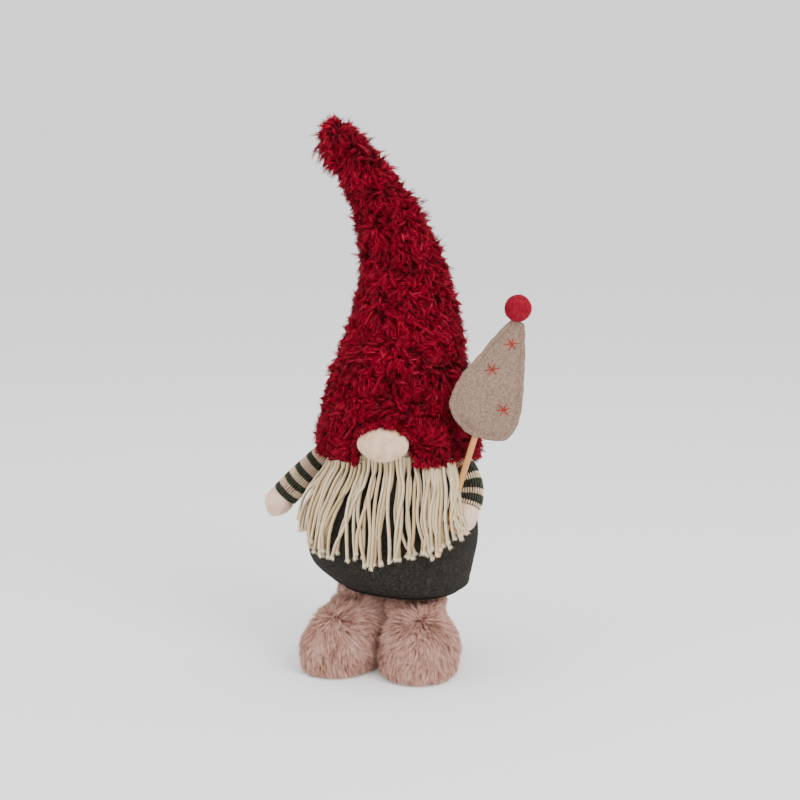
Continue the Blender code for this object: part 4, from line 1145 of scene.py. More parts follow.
# the brim's edge: pile that turns down over the seam
z, a = hat_roots(188.0, 190.5, 2.0, 2.9, 23)
p, n, ahead = hat_points(z, a)
keep = ~((np.abs(p[:, 0] - NOSE_C[0]) < NOSE_R[0] + 1.5) & (p[:, 1] < 0))
off = p + n * 5.0 - STICK_TIP
gap = np.linalg.norm(off - (off @ STICK_AXIS)[:, None] * STICK_AXIS, axis=1)
keep &= gap > 6.0
p, n = p[keep], n[keep]
rim = plush("hat_pile_rim", p, unit(n * 1.0 + np.array((0, 0, -0.6))), np.tile((0.0, 0.0, -1.0), (len(p), 1)), 24, 9.6, 1.6, grow=1 - 0.46 * (smooth((8 - p[:, 0]) / 10) + 1.1 * smooth((p[:, 0] - 18) / 8) * smooth((62 - p[:, 0]) / 14)) * smooth((-20 - p[:, 1]) / 15))
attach(rim, "root")

# the blunt tip's longer tufts
c, ahead, across, r_end = hat_frame(np.array([468.0]))
r = np.random.default_rng(29)
a = r.uniform(0, 2 * math.pi, 110)
ring_r = np.sqrt(r.uniform(0, 1, 110))
radial = across[0] * np.sin(a)[:, None] + np.array((0.0, -1.0, 0.0)) * np.cos(a)[:, None]
p = c[0] + ahead[0] * (5.0 * np.sqrt(1 - 0.85 * ring_r**2))[:, None] + radial * (r_end[0] * ring_r * 0.95)[:, None]
n = unit(ahead[0] * 0.9 + radial * ring_r[:, None] * 1.3)
tip = plush("hat_pile_tip", p, n, radial * 0.9 - np.array((0.5, 0, 0.2)), 31, 12.5, 1.55, grow=1 + 0.25 * np.clip(-radial[:, 0], 0, 1) - 0.12 * np.clip(radial[:, 2], 0, 1))
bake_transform(tip)

# the brim lies over the top of the nose
r = np.random.default_rng(37)
count = 420
phi = np.radians(r.uniform(-84, 84, count))
psi = np.radians(r.uniform(-62, 13, count)) - np.radians(16) * smooth((np.abs(phi) - 0.8) / 0.6)
out = np.stack([np.sin(phi) * np.cos(psi), -np.sin(psi), np.cos(phi) * np.cos(psi)], -1)
p = NOSE_C + (NOSE_R + 1.6) * out
steep = unit(out / NOSE_R)
front = np.stack([-0.18 * np.sin(phi), np.full(count, -1.0), np.zeros(count)], -1)
front = unit(front - steep * dot(front, steep))
brow = plush("hat_pile_brow", p, unit(front + 0.14 * steep), front - 0.2 * steep, 38, 7.6, 1.45, calm=0.3)
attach(brow, "root")

# ------------------------------------------------------------------ nose


def egg(radii, centre, rows=40, cols=64):
    """Rings of an egg with its poles front and back."""
    lat = np.linspace(-math.pi / 2 + 0.06, math.pi / 2 - 0.06, rows)
    lon = np.linspace(0, 2 * math.pi, cols, endpoint=False)
    y = -np.sin(lat)[:, None] * np.ones(cols)
    x = np.cos(lat)[:, None] * np.cos(lon)[None]
    z = np.cos(lat)[:, None] * np.sin(lon)[None]
    return np.stack([x, y, z], -1) * radii + centre


rings = egg(NOSE_R, NOSE_C)
flat = rings.reshape(-1, 3)
way = unit((flat - NOSE_C) / NOSE_R)
# a little lumpy, from a smooth random field
flat = flat + way * (0.35 * waves(flat, 24.0, 61))[:, None]
rings = flat.reshape(rings.shape)
nose = skin("nose_velour_ball", rings[::-1], [VELOUR], cap_first=True, cap_last=True)
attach(nose, "root")
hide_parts("nose_cover", "nose_filling")
p, n = scatter(nose, 5200, 62)
outward = unit((p - NOSE_C) / NOSE_R**2)
nap = fuzz("nose_nap", p, outward, 1.0, 0.11, PALE_THREAD, 63, 0.7)
nap.data.materials[0] = pile("nose_nap_fibre", linear(238, 214, 196), 0.85, 0.1)
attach(nap, "root")

# ------------------------------------------------------------------ boots and legs

SWIRL = {"right": np.array((-38.5, -61.0, 49.5)), "left": np.array((39.5, -57.5, 51.0))}


def boot_place(which):
    sign, splay, reach_ = BOOTS[which]
    turn = math.radians(splay * sign)
    c, s = math.cos(turn), math.sin(turn)
    hip = np.array((sign * LEG_X, LEG_Y, 0.0))
    rot = np.array(((c, -s, 0), (s, c, 0), (0, 0, 1)))
    return hip, rot, 1.0 + reach_ / 85.0


def boot_surface(which, v, a, less=0.0):
    """Points on the boot's cloth: v runs up the rings, a goes round."""
    hip, rot, stretch = boot_place(which)
    rows = np.array(BOOT_RINGS)
    k = np.linspace(0, 1, len(rows))
    z, fore, rx, ry = (interp(list(zip(k, rows[:, i])), v) for i in range(4))
    c, s = np.cos(a), np.sin(a)
    p = 2 / 2.3
    x = (rx - less) * np.sign(c) * np.abs(c) ** p + (1 if which == "left" else -1) * 1.6 * smooth((46 - z) / 20)
    y = -fore * stretch + (ry * (1 + (stretch - 1) * 0.5) - less) * np.sign(s) * np.abs(s) ** p
    return np.stack([x, y, z], -1) @ rot.T + hip


def leg_surface(which, z, a, less=0.0):
    hip = boot_place(which)[0]
    return np.stack([hip[0] + (LEG_R - less) * np.cos(a), hip[1] + (LEG_R - less) * np.sin(a), z], -1)


def fur(name, roots, normals, flow, seed, length, width, hairs_per_lock=11, floor=0.35, tan=None, rise=1.0):
    """Long straight pile that lies along flow, gathered into locks."""
    r = np.random.default_rng(seed)
    n = len(roots)
    h = hairs_per_lock
    flow = unit(flow - normals * dot(flow, normals))
    lift = r.uniform(0.28, 0.6, (n, 1)) * np.broadcast_to(rise, n)[:, None]
    d0 = unit(flow + normals * lift * 1.7 + r.normal(0, 0.16, (n, 3)))
    d1 = unit(flow + normals * (lift * 0.15 + np.maximum(np.broadcast_to(rise, n)[:, None] - 1, 0) * 0.8) + r.normal(0, 0.20, (n, 3)) + np.array((0, 0, -0.1)))
    size = length[:, None] * r.uniform(0.78, 1.2, (n, 1))
    K = 5
    t = np.linspace(0, 1, K)
    axis = roots[:, None] - normals[:, None] * 0.5 + size[:, None] * (t[None, :, None] * d0[:, None] + (t**2)[None, :, None] * 0.55 * (d1 - d0)[:, None])
    side0 = unit(np.cross(d0, normals))
    off = r.normal(0, 1.0, (n, h, 2)) * 1.3
    start = side0[:, None] * off[..., :1] + flow[:, None] * off[..., 1:]
    gather = 1 - 0.5 * smooth(t * 1.15)
    line = axis[:, None] + start[:, :, None] * gather[None, None, :, None]
    reach_ = r.uniform(0.72, 1.1, (n, h, 1, 1))
    foot_ = line[:, :, :1]
    line = foot_ + (line - foot_) * reach_
    line = line + (t**1.5)[None, None, :, None] * r.normal(0, 0.42, (n, h, 1, 3))
    ahead = unit(np.gradient(line, axis=2))
    side = unit(np.cross(ahead, normals[:, None, None] + 0.35 * r.normal(size=(n, h, 1, 3))))
    w = width * np.array((0.9, 1.0, 0.8, 0.5))[None, None] * r.uniform(0.7, 1.3, (n, h, 1))
    # painted shade: each hair dark at its foot and lighter towards its tip, with random tone per lock and per hair
    value = np.array((-1.7, -0.35, 0.45, 1.05))[None, None] + r.normal(0, 0.5, (n, 1, 1)) + r.normal(0, 0.6, (n, h, 1)) + 0.3 * waves(roots, 18.0, 55)[:, None, None]
    tone = np.clip(np.searchsorted((-1.15, 0.0, 1.2), value), 0, 3)
    if tan is not None:
        low = (r.random((n, h, 1)) < tan[:, None, None]) & (np.arange(K - 1) > 1)
        tone = np.where(low, 4, tone)
    m = n * h
    line = line.reshape(m, K, 3)
    line[..., 2] = np.where(line[..., 2] < floor, floor + 0.02 * (line[..., 2] - floor), line[..., 2])
    line[..., 2] = np.maximum(line[..., 2], 0.15)
    return blade_object(name, line, side.reshape(m, K, 3), w.reshape(m, K - 1), PINK, tone.reshape(m, K - 1))


def surface_normals(f, v, a, centre):
    e = 1e-3
    du = f(v + e, a) - f(v - e, a)
    dv = f(v, a + e) - f(v, a - e)
    n = unit(np.cross(dv, du))
    return np.where(dot(n, f(v, a) - centre) < 0, -n, n)


for which in ("left", "right"):
    hip, rot, stretch = boot_place(which)
    rows = np.linspace(0, 1, 30)
    a = np.linspace(0, 2 * math.pi, 64, endpoint=False)
    rings = np.array([boot_surface(which, np.full_like(a, v), a, 0.4) for v in rows])
    # the boot cloth takes the darkest pink, painted shade for the gaps between the locks
    upper = skin(which + "_boot_cloth", rings, [PINK[0]], cap_last=True)
    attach(upper, "root")
    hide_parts(which + "_boot_upper", which + "_boot_stuffing", which + "_boot_ballast")
    # sole: felt sheet with a rounded edge
    edge = []
    z0, fore, rx, ry = BOOT_RINGS[0]
    for zz, less in ((0.0, 3.0), (0.0, 1.4), (0.5, 0.9), (1.4, 0.9), (2.0, 1.4), (2.0, 6.0)):
        c, s = np.cos(a), np.sin(a)
        x = (rx - less) * np.sign(c) * np.abs(c) ** (2 / 2.3)
        y = -fore * stretch + (ry * (1 + (stretch - 1) * 0.5) - less) * np.sign(s) * np.abs(s) ** (2 / 2.3)
        edge.append(np.stack([x, y, np.full_like(x, zz)], -1) @ rot.T + hip)
    sole = skin(which + "_sole_sheet", np.array(edge), [SOLE_FELT], cap_first=True, cap_last=True)
    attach(sole, "root")
    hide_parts(which + "_boot_sole")
    # leg tube, in the darkest pink: painted shade for the gaps between the locks
    zz = np.linspace(53.5, 69.5, 8)
    leg = skin(which + "_leg_cloth", np.array([leg_surface(which, np.full_like(a, z_), a, 0.3) for z_ in zz]), [PINK[0]])
    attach(leg, "root")
    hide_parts(which + "_leg_fur", which + "_leg_stuffing")
    # locks over the boot, parted at the swirl on the toe
    r = np.random.default_rng(70 + len(which))
    target = 6600
    v = r.uniform(0.0, 1.0, 32000)
    ang = r.uniform(0, 2 * math.pi, 32000)
    e = 2e-3
    f = lambda vv, aa: boot_surface(which, vv, aa)
    area = np.linalg.norm(np.cross(f(v + e, ang) - f(v - e, ang), f(v, ang + e) - f(v, ang - e)), axis=1)
    keep = r.random(len(v)) < area / area.max() * 1.0
    v, ang = v[keep], ang[keep]
    pick = r.permutation(len(v))[:target]
    v, ang = v[pick], ang[pick]
    p = f(v, ang)
    centre = np.array((0, -31.0 * stretch, 28.0)) @ rot.T + hip
    n = surface_normals(f, v, ang, centre)
    swirl = SWIRL[which]
    flow = unit(p - swirl)
    near = np.linalg.norm(p - swirl, axis=1)
    flow = flow + wave_vector(p, 3.0, 430) * (0.9 * smooth((8 - near) / 6))[:, None]
    flow = flow + wave_vector(p, 26.0, 400 + len(which)) * 0.22 + np.array((0, 0, -0.25)) * smooth((near - 20) / 30)[:, None]
    # up the instep the pile runs back towards the leg, then fans out round it
    length = 11.5 - 4.0 * smooth((10 - p[:, 2]) / 10) - 0.8 * smooth((9 - near) / 9) - 2.5 * smooth((p[:, 1] + 30) / 25) * smooth((p[:, 2] - 25) / 15)
    tan = 0.55 * smooth((9 - p[:, 2]) / 7)
    keep = ~((np.hypot(p[:, 0] - hip[0], p[:, 1] - hip[1]) < LEG_R - 1) & (p[:, 2] > 50))
    p, n, flow, length, tan = p[keep], n[keep], flow[keep], length[keep], tan[keep]
    inner = smooth((hip[0] - p[:, 0]) * (1 if which == "left" else -1) / 10) * smooth((p[:, 2] - 30) / 12) * smooth((p[:, 1] + 50) / 20)
    length, rise = length + 3.5 * inner, 1 + 1.4 * inner
    halves = np.array_split(np.argsort(p[:, 1]), 3)
    for i, part in enumerate(halves):
        coat = fur(f"{which}_boot_fur_{i + 1}", p[part], n[part], flow[part], 80 + i + 3 * len(which), length[part], 0.29, tan=tan[part], rise=rise[part])
        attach(coat, "root")
    # leg fur, brushed out and down
    zz = r.uniform(49.0, 70.0, 1650)
    ang = r.uniform(0, 2 * math.pi, 1650)
    p = leg_surface(which, zz, ang)
    n = unit(p - np.array((hip[0], hip[1], 0)) * (1, 1, 0) - np.array((0, 0, 1)) * p[:, 2:])
    flow = np.array((0, 0, -0.7)) + 0.9 * wave_vector(p, 14.0, 500 + len(which)) + 1.6 * n * smooth((-n[:, :1] * (1 if which == "left" else -1) + 0.2) / 0.8)
    coat = fur(f"{which}_leg_fur_coat", p, n, flow, 90 + len(which), 9.5 + 4.5 * smooth(-n[:, 0] * (1 if which == "left" else -1)), 0.3, rise=1.5 + 2.5 * smooth(-n[:, 0] * (1 if which == "left" else -1) + 0.2))
    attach(coat, "root")

# ------------------------------------------------------------------ arms


def arm_line(rows, lead):
    """Centreline and radius along an arm, its upper end carried on to the body under the brim."""
    return np.concatenate([np.array(lead, float), np.array(rows, float)])


def knit_sleeve(name, rows, bands, wales, course, seed):
    """Fine stockinette sleeve: each stitch is a V of two yarn legs. bands are (from, to) along the sleeve in green."""
    line = catmull(rows, 200)
    run = np.concatenate([[0], np.cumsum(np.linalg.norm(np.diff(line[:, :3], axis=0), axis=1))])
    total = run[-1]
    ahead, a, b = frames_along(line[:, :3])

    def at(s, th, lift):
        k = np.clip(s, 0, total)
        c = np.stack([np.interp(k, run, line[:, i]) for i in range(3)], -1)
        ea = np.stack([np.interp(k, run, a[:, i]) for i in range(3)], -1)
        eb = np.stack([np.interp(k, run, b[:, i]) for i in range(3)], -1)
        rad = np.interp(k, run, line[:, 3])
        return c + (ea * np.cos(th)[..., None] + eb * np.sin(th)[..., None]) * (rad + lift)[..., None]

    s0 = np.linspace(0, total, 60)
    th0 = np.linspace(0, 2 * math.pi, 48, endpoint=False)
    S, T = np.meshgrid(s0, th0, indexing="ij")
    # a near-black tube under the stitches: painted shade that shows between the yarn legs
    under = skin(name + "_gap_shade", at(S, T, np.full_like(S, -1.0)), [KNIT_GAP_SHADE], cap_first=True, cap_last=True)
    courses = int(total / course)
    ci, wi, leg_ = np.meshgrid(np.arange(courses), np.arange(wales), (-1.0, 1.0), indexing="ij")
    ci, wi, leg_ = ci.ravel(), wi.ravel(), leg_.ravel()
    r = np.random.default_rng(seed)
    step = 2 * math.pi / wales
    m = len(ci)
    # each leg runs from the foot of its V outwards and on towards the next course
    u = np.linspace(0, 1, 5)
    cross = np.linspace(-1, 1, 4)
    s_mid = (ci + 0.15)[:, None] * course + u[None] * course * 1.5
    th_mid = (wi[:, None] + leg_[:, None] * (0.06 + 0.17 * u[None])) * step + r.normal(0, 0.02, (m, 1)) * step
    wide = np.array((0.35, 0.95, 1.0, 0.85, 0.3))
    lift = np.array((-0.7, 0.3, 0.62, 0.3, -0.7))
    s = s_mid[:, :, None] + 0 * cross
    th = th_mid[:, :, None] + cross[None, None] * wide[None, :, None] * 0.125 * step
    h = lift[None, :, None] - 0.45 * (cross**2)[None, None] + 0 * s + r.normal(0, 0.03, (m, 1, 1))
    pts = at(s.ravel(), th.ravel(), h.ravel()).reshape(m, 20, 3)
    base_ = (np.arange(m) * 20)[:, None, None]
    quads = (base_ + grid_faces(5, 4, False)[None]).reshape(-1, 4)
    green = np.zeros(m, bool)
    # the yarn changes at whole courses
    here = (ci + 0.9) * course
    for lo, hi in bands:
        green |= (here > lo) & (here < hi)
    dark = r.random(m) < 0.3
    tone = np.where(green, np.where(dark, 1, 0), np.where(dark, 3, 2))
    return build(name, metres(pts.reshape(-1, 3)), [quads], [GREEN_YARN, GREEN_DARK, OAT_YARN, OAT_DARK], np.repeat(tone, 12)), under


def bands_from_wrist(total, widths):
    """Bands measured back from the wrist: alternately green and oat."""
    out, at_ = [], total
    for k, w in enumerate(widths):
        if k % 2 == 0:
            out.append((at_ - w, at_))
        at_ -= w
    return out


def run_of(rows):
    line = catmull(rows, 200)
    return float(np.linalg.norm(np.diff(line[:, :3], axis=0), axis=1).sum())


SLEEVES = {
    "right": (RIGHT_ARM, [(-56.0, -5.0, 186.5, 10.0), (-65.5, -5.5, 177.6, 10.8)], (6.4, 6.6, 6.5, 7.2, 6.4, 7.0, 6.0, 7.2, 5.8)),
    "left": (LEFT_ARM, [(62.0, -25.0, 187.0, 10.0), (70.0, -28.5, 179.0, 10.8)], (0.01, 2.8, 6.8, 5.8, 6.8, 5.8, 6.8, 5.8, 6.8)),
}
for which, (rows, lead, widths) in SLEEVES.items():
    rows = arm_line(rows, lead)
    total = run_of(rows)
    stitched, under = knit_sleeve(which + "_sleeve_knit", rows, bands_from_wrist(total, widths), 32, 1.6, 600 + len(which))
    pivot = rows[2][:3]
    for obj in (stitched, under):
        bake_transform(obj)
    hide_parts(which + "_sleeve", which + "_arm_stuffing")


def mitten(which, rows):
    line = catmull(rows, 34)
    ahead, a, b = frames_along(line[:, :3])
    th = np.linspace(0, 2 * math.pi, 56, endpoint=False)
    rings = line[:, None, :3] + (a[:, None] * np.cos(th)[None, :, None] + b[:, None] * np.sin(th)[None, :, None]) * line[:, 3][:, None, None]
    end = line[-1, :3]
    tips = [end + ahead[-1] * d + (rings[-1] - end) * k for d, k in ((1.4, 0.82), (2.5, 0.5), (3.0, 0.2))]
    start = line[0, :3]
    heads = [start - ahead[0] * d + (rings[0] - start) * k for d, k in ((5.0, 0.86), (1.6, 0.88))]
    # drawn in a little where the sleeve's cuff lies over it
    for k, f in ((0, 0.93), (1, 0.96), (2, 0.985)):
        rings[k] = line[k, :3] + (rings[k] - line[k, :3]) * f
    rings = np.concatenate([heads, rings, tips])
    return rings, line, ahead, a, b


for which, rows in (("right", RIGHT_HAND), ("left", LEFT_HAND)):
    rings, line, ahead, a, b = mitten(which, rows)
    flat = rings.reshape(-1, 3)
    core = np.repeat(np.concatenate([line[:1, :3], line[:1, :3], line[:, :3], np.repeat(line[-1:, :3], 3, 0)]), rings.shape[1], 0)
    outward = unit(flat - core + 1e-6)
    flat = flat + outward * (0.4 * waves(flat, 16.0, 640 + len(which)))[:, None]
    # the seam down the outer side pulls the fleece in
    seam_way = unit(np.array((0.75, -0.35, -0.55)) if which == "right" else np.array((0.62, -0.55, -0.55)))
    facing = (outward * seam_way).sum(1)
    dip = np.exp(-((1 - np.clip(facing, -1, 1)) / 0.006))
    flat = flat - outward * (0.7 * dip)[:, None]
    hand = skin(which + "_hand_mitten", flat.reshape(rings.shape), [FLEECE], cap_first=True, cap_last=True)
    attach(hand, which + "_arm")
    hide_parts(which + "_hand")
    p, n = scatter(hand, 3600, 650 + len(which))
    k = ((p[:, None] - line[None, :, :3]) ** 2).sum(-1).argmin(1)
    outward = unit(p - line[k, :3])
    nap = fuzz(which + "_hand_nap", p, outward, 1.3, 0.12, FLEECE, 660 + len(which), 0.8)
    nap.data.materials[0] = pile(which + "_hand_nap_fibre", linear(242, 218, 206), 0.85, 0.1)
    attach(nap, which + "_arm")
    # a few seam stitches
    parts = []
    for q in np.linspace(0.12, 0.8, 7):
        k = int(q * 33)
        d = seam_way - ahead[k] * (seam_way @ ahead[k])
        d /= np.linalg.norm(d)
        c = line[k, :3] + d * (line[k, 3] - 0.35)
        across_ = np.cross(d, ahead[k])
        parts.append(capsule(c - across_ * 0.9 - ahead[k] * 0.4, c + across_ * 0.9 + ahead[k] * 0.4, 0.22, bow=d * 0.3))
    v, q_, t_ = joined(parts)
    seam = build(which + "_hand_seam", metres(v), [q_, t_], [PALE_THREAD])
    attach(seam, which + "_arm")

# thread loops that tie the stick to the hand
TIE_AT = STICK_TIP + STICK_AXIS * 31.0
q1 = unit(np.cross(STICK_AXIS, (0.0, 0.0, 1.0)))
q2 = np.cross(STICK_AXIS, q1)
turns = 3
t = np.linspace(0, turns * 2 * math.pi, turns * 22)
helix = TIE_AT + (q1 * np.cos(t)[:, None] + q2 * np.sin(t)[:, None]) * 3.35 + STICK_AXIS * (np.linspace(-1.3, 1.3, len(t)) + 0.1 * np.sin(t * 1.7))[:, None]
to_hand = unit(np.array(LEFT_HAND[3][:3]) - TIE_AT)
helix = np.concatenate([[TIE_AT + to_hand * 7.5 - STICK_AXIS * 1.5], helix, [TIE_AT + to_hand * 7.5 + STICK_AXIS * 1.5]])
helix = catmull(helix, 180)
_, ha, hb = frames_along(helix)
th = np.linspace(0, 2 * math.pi, 8, endpoint=False)
lobes = 0.42 * (1 + 0.15 * np.cos(2 * (th[None] + np.linspace(0, 160, len(helix))[:, None])))
ring = helix[:, None] + (ha[:, None] * np.cos(th)[None, :, None] + hb[:, None] * np.sin(th)[None, :, None]) * lobes[..., None]
tie = skin("stick_tie_thread", ring, [BEIGE_THREAD], cap_first=True, cap_last=True)
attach(tie, "left_arm")
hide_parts("hand_tie_thread")

# ------------------------------------------------------------------ stick

for node in ("tree_stick",):
    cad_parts[node].data.materials[0] = BIRCH
    for slot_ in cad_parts[node].material_slots:
        slot_.material = BIRCH

# ------------------------------------------------------------------ felt tree

TREE_OUTLINE_FULL = [(x + 4.2, z + (3.6 if z > 94 else 0.0)) for x, z in TREE_OUTLINE]
OUTLINE = catmull(TREE_OUTLINE_FULL, 220, closed=True)
STITCH_IN = 4.6


def tree_local(x, d, z):
    """Tree axes (across, out of the face, up the stick) to the body's axes."""
    return TREE_FOOT_AT + np.asarray(x)[..., None] * TREE_ACROSS + np.asarray(d)[..., None] * TREE_OUT + np.asarray(z)[..., None] * STICK_AXIS


wobble = np.linspace(0, 2 * math.pi, len(OUTLINE), endpoint=False)
seg = np.roll(OUTLINE, -1, 0) - np.roll(OUTLINE, 1, 0)
inward_edge = unit(np.stack([-seg[:, 1], seg[:, 0]], -1))
middle = np.array((-3.0, 40.0))
if ((middle - OUTLINE) * inward_edge).sum() < 0:
    inward_edge = -inward_edge
# the sewn edge is a little uneven
OUTLINE = OUTLINE + inward_edge * (0.18 * np.sin(wobble * 17 + 1.0) + 0.12 * np.sin(wobble * 29 + 2.0) + 0.2 * np.sin(wobble * 8))[:, None]


def tree_spine():
    """The line down the tree's middle that each place on the outline faces, and half the width there."""
    level = np.clip(OUTLINE[:, 1], 20.0, 86.0)
    rows = np.linspace(18.0, 88.0, 141)
    ends = np.roll(OUTLINE, -1, 0)
    half, centre = [], []
    for row in rows:
        cut = (OUTLINE[:, 1] - row) * (ends[:, 1] - row) <= 0
        x = OUTLINE[cut, 0]
        half.append((x.max() - x.min()) / 2)
        centre.append((x.max() + x.min()) / 2)
    middle_x = np.interp(level, rows, np.array(centre)) * 0.7 + 0.3 * TREE_MID_X * (1 - level / 120)
    return np.stack([middle_x, level], -1), np.interp(level, rows, half)


def tree_ring_at(inset):
    """The outline moved in by some mm near the edge, and towards the spine further in."""
    spine, _ = tree_spine()
    room = np.linalg.norm(spine - OUTLINE, axis=1, keepdims=True)
    return OUTLINE + (spine - OUTLINE) / room * inset


def tree_face(sign):
    """One felt of the tree: a flat seam lip, a pulled-in stitch line and a stuffed middle."""
    rings = []
    spine, half = tree_spine()
    room = np.linalg.norm(spine - OUTLINE, axis=1)
    inner = [(0.0, 0.1, 0.0), (0.12, 0.9, 0.0), (0.6, 1.7, 0.0), (1.4, 2.25, 0.0), (2.6, 2.5, 0.0), (3.7, 2.4, 0.0), (STITCH_IN, 2.1, 0.0), (5.4, 2.5, 0.0), (6.6, 3.2, 0.0)]
    for inset, h, _ in inner:
        q = OUTLINE + (spine - OUTLINE) / room[:, None] * inset
        rings.append((q, np.full(len(q), h)))
    for f in (0.72, 0.6, 0.48, 0.36, 0.24, 0.12, 0.0):
        rest = 1 - 6.6 / room
        g = rest * (f / 0.8) if f > 0 else np.zeros_like(rest)
        q = spine + (OUTLINE - spine) * g[:, None]
        up = 3.2 + 3.8 * (1 - (f / 0.82) ** 2.0) ** 0.75
        # thinner towards the narrow top
        up = 3.2 + (up - 3.2) * np.clip(half / 26.0, 0.45, 1.0)
        rings.append((q, up))
    out = []
    for q, h in rings:
        # the front and back part round the dowel where it goes in
        round_stick = np.exp(-(q[:, 0] / 3.6) ** 2) * smooth((24 - q[:, 1]) / 10)
        h = np.maximum(h, h + (4.1 - h) * round_stick)
        pucker = 0.18 * np.sin(np.arange(len(q)) * 2 * math.pi * 46 / len(q)) * (np.abs(h - 2.3) < 0.3)
        p3 = tree_local(q[:, 0], sign * (h + pucker), q[:, 1])
        lump = 0.3 * waves(p3, 22.0, 811 if sign > 0 else 812)
        out.append(p3 + sign * TREE_OUT * (lump * np.clip((h - 1.9) / 2.0, 0, 1))[:, None])
    return np.array(out)


for name, sign, node in (("tree_front_skin", 1, "tree_front_felt"), ("tree_back_skin", -1, "tree_back_felt")):
    rings = tree_face(sign)
    if sign > 0:
        rings = rings[:, ::-1]
    face_ = skin(name, rings, [TREE_FELT_MAT])
    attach(face_, "tree")
    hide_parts(node)
    if sign > 0:
        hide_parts("tree_padding")
    p, n = scatter(face_, 4200, 830 + sign)
    n = np.where((n @ TREE_OUT * sign)[:, None] < 0, -n, n)
    nap = fuzz(name + "_fuzz", p, n, 1.5, 0.10, TREE_FELT_MAT, 840 + sign, 1.0)
    nap.data.materials[0] = pile(name + "_fibre", linear(196, 172, 154), 0.85, 0.03)
    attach(nap, "tree")

# running stitch round the edge, on both faces
line2 = tree_ring_at(STITCH_IN)
around = catmull(line2, 600, closed=True)
step = np.linalg.norm(np.diff(around, axis=0), axis=1)
run = np.concatenate([[0], np.cumsum(step)])
parts = []
s = 0.0
while s < run[-1] - 1.0:
    for sign in (1, -1):
        p0 = np.array([np.interp(s, run, around[:, k]) for k in (0, 1)])
        p1 = np.array([np.interp(s + 1.9, run, around[:, k]) for k in (0, 1)])
        parts.append(capsule(tree_local(p0[0], sign * 1.85, p0[1]), tree_local(p1[0], sign * 1.85, p1[1]), 0.2, 6, 5, bow=TREE_OUT * sign * 0.42))
    s += 2.6
v, q_, t_ = joined(parts)
edge = build("tree_edge_stitches", metres(v), [q_, t_], [BEIGE_THREAD])
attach(edge, "tree")
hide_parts("tree_edge_stitch")


def face_height(x, z):
    """Height of the front felt at a place, from the rings."""
    rings = tree_face(1)
    q = rings - TREE_FOOT_AT
    X, Z, D = (q @ TREE_ACROSS).ravel(), (q @ STICK_AXIS).ravel(), (q @ TREE_OUT).ravel()
    d2 = (X - x) ** 2 + (Z - z) ** 2
    k = np.argsort(d2)[:6]
    w = 1 / (d2[k] + 0.05)
    return float((D[k] * w).sum() / w.sum())


for name, (sx, sz) in STARS.items():
    sx, sz = sx + 2.4, sz + (1.4 if name == "middle" else 0.0)
    parts = []
    for i in range(6):
        ang = math.pi * i / 3 + math.radians(24 + 5 * math.sin(i * 2.1 + sx))
        reach_ = STAR_R * (1 + 0.08 * math.sin(i * 1.9 + sz))
        ex, ez = sx + reach_ * math.cos(ang), sz + reach_ * math.sin(ang)
        cx, cz = sx + 0.3 * math.cos(ang), sz + 0.3 * math.sin(ang)
        h0, h1 = face_height(cx, cz), face_height(ex, ez)
        for lane in (-0.17, 0.17):
            ox, oz = -math.sin(ang) * lane, math.cos(ang) * lane
            parts.append(capsule(tree_local(cx + ox, h0 + 0.42, cz + oz), tree_local(ex + ox * 0.6, h1 + 0.05, ez + oz * 0.6), 0.24, 8, 10, bow=TREE_OUT * 0.35, twist=14.0))
    v, q_, t_ = joined(parts)
    star = build("star_thread_" + name, metres(v), [q_, t_], [RED_THREAD])
    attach(star, "tree")
    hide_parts("star_stitch_" + name)

# felt ball
BALL_C = BALL_C + np.array((2.4, 0.0, 0.3))
BALL_R = 11.7
rings = egg(np.array((BALL_R,) * 3), BALL_C, 40, 64)
flat = rings.reshape(-1, 3)
way = unit(flat - BALL_C)
flat = flat + way * (0.16 * waves(flat, 16.0, 871) + 0.06 * waves(flat, 4.0, 872) - 0.2)[:, None]
ball = skin("felt_ball", flat.reshape(rings.shape)[::-1], [RED_FELT], cap_first=True, cap_last=True)
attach(ball, "tree")
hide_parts("tree_pompom")
p, n = scatter(ball, 3400, 873)
nap = fuzz("felt_ball_fuzz", p, unit(p - BALL_C), 1.7, 0.11, RED_FELT, 874, 1.0)
nap.data.materials[0] = pile("ball_fibre", linear(176, 16, 42), 0.8, 0.05)
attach(nap, "tree")

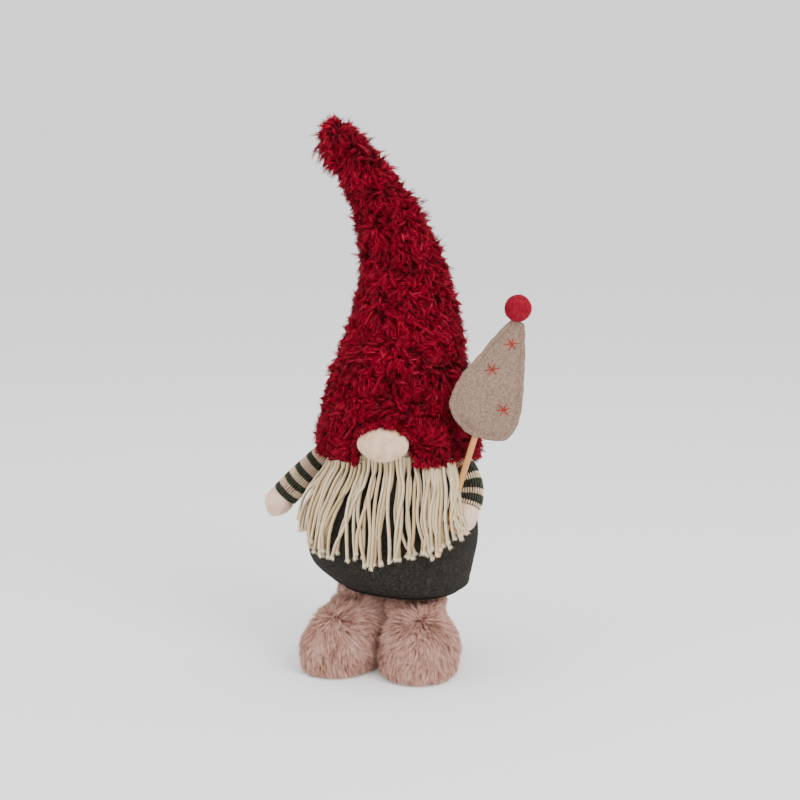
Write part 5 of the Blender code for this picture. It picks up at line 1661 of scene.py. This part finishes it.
# loose fibres on the body felt
p, n = scatter(sack, 9000, 880)
level, out = body_level(p)
n = unit(out + np.array((0, 0, 1.0)) * np.clip((90 - p[:, 2]) / -60, -0.8, 0)[:, None])
keep = p[:, 2] < 196
nap = fuzz("body_felt_fuzz", p[keep], n[keep], 1.5, 0.10, CHARCOAL, 881, 1.0)
nap.data.materials[0] = pile("body_fibre", linear(96, 88, 78), 0.85, 0.05)
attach(nap, "root")

# ------------------------------------------------------------------ hidden wire

STEEL, tree_, bsdf_ = shader("steel_wire_drawn", linear(140, 140, 144), 0.4)
bsdf_.inputs["Metallic"].default_value = 0.9
bump(tree_, bsdf_, noise(tree_, placed(tree_), 900.0, 3.0), 0.00005)
for node in ("hat_wire_lower", "hat_wire_middle", "hat_wire_tip"):
    for slot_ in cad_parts[node].material_slots:
        slot_.material = STEEL

# ------------------------------------------------------------------ floor and light

floor_mat, ft, fb = shader("pale_floor", (0.9, 0.9, 0.9, 1.0), 0.9)
bpy.ops.mesh.primitive_plane_add(size=60.0, location=(0, 0, 0))
floor = bpy.context.object
floor.name = "studio_floor"
floor.data.materials.append(floor_mat)
fb.inputs["Emission Color"].default_value = (1.0, 1.0, 1.0, 1.0)
fb.inputs["Emission Strength"].default_value = 0.14

world = bpy.data.worlds.new("studio") if SCENE.world is None else SCENE.world
SCENE.world = world
world.use_nodes = True
world.node_tree.nodes["Background"].inputs["Color"].default_value = (1.0, 1.0, 1.0, 1.0)
world.node_tree.nodes["Background"].inputs["Strength"].default_value = 1.35


def softbox(name, place, size, power):
    light = bpy.data.lights.new(name, "AREA")
    light.shape = "RECTANGLE"
    light.size, light.size_y = size
    light.energy = power
    obj = bpy.data.objects.new(name, light)
    obj.location = place
    obj.rotation_euler = (Vector(place) - Vector((0, 0, 0.22))).to_track_quat("Z", "Y").to_euler()
    SCENE.collection.objects.link(obj)


softbox("key", (1.15, -1.0, 1.35), (0.9, 0.9), 26.0)
softbox("fill", (-1.5, -1.4, 0.9), (1.4, 1.2), 10.0)
softbox("top", (0.0, 0.3, 1.9), (1.4, 1.4), 10.0)
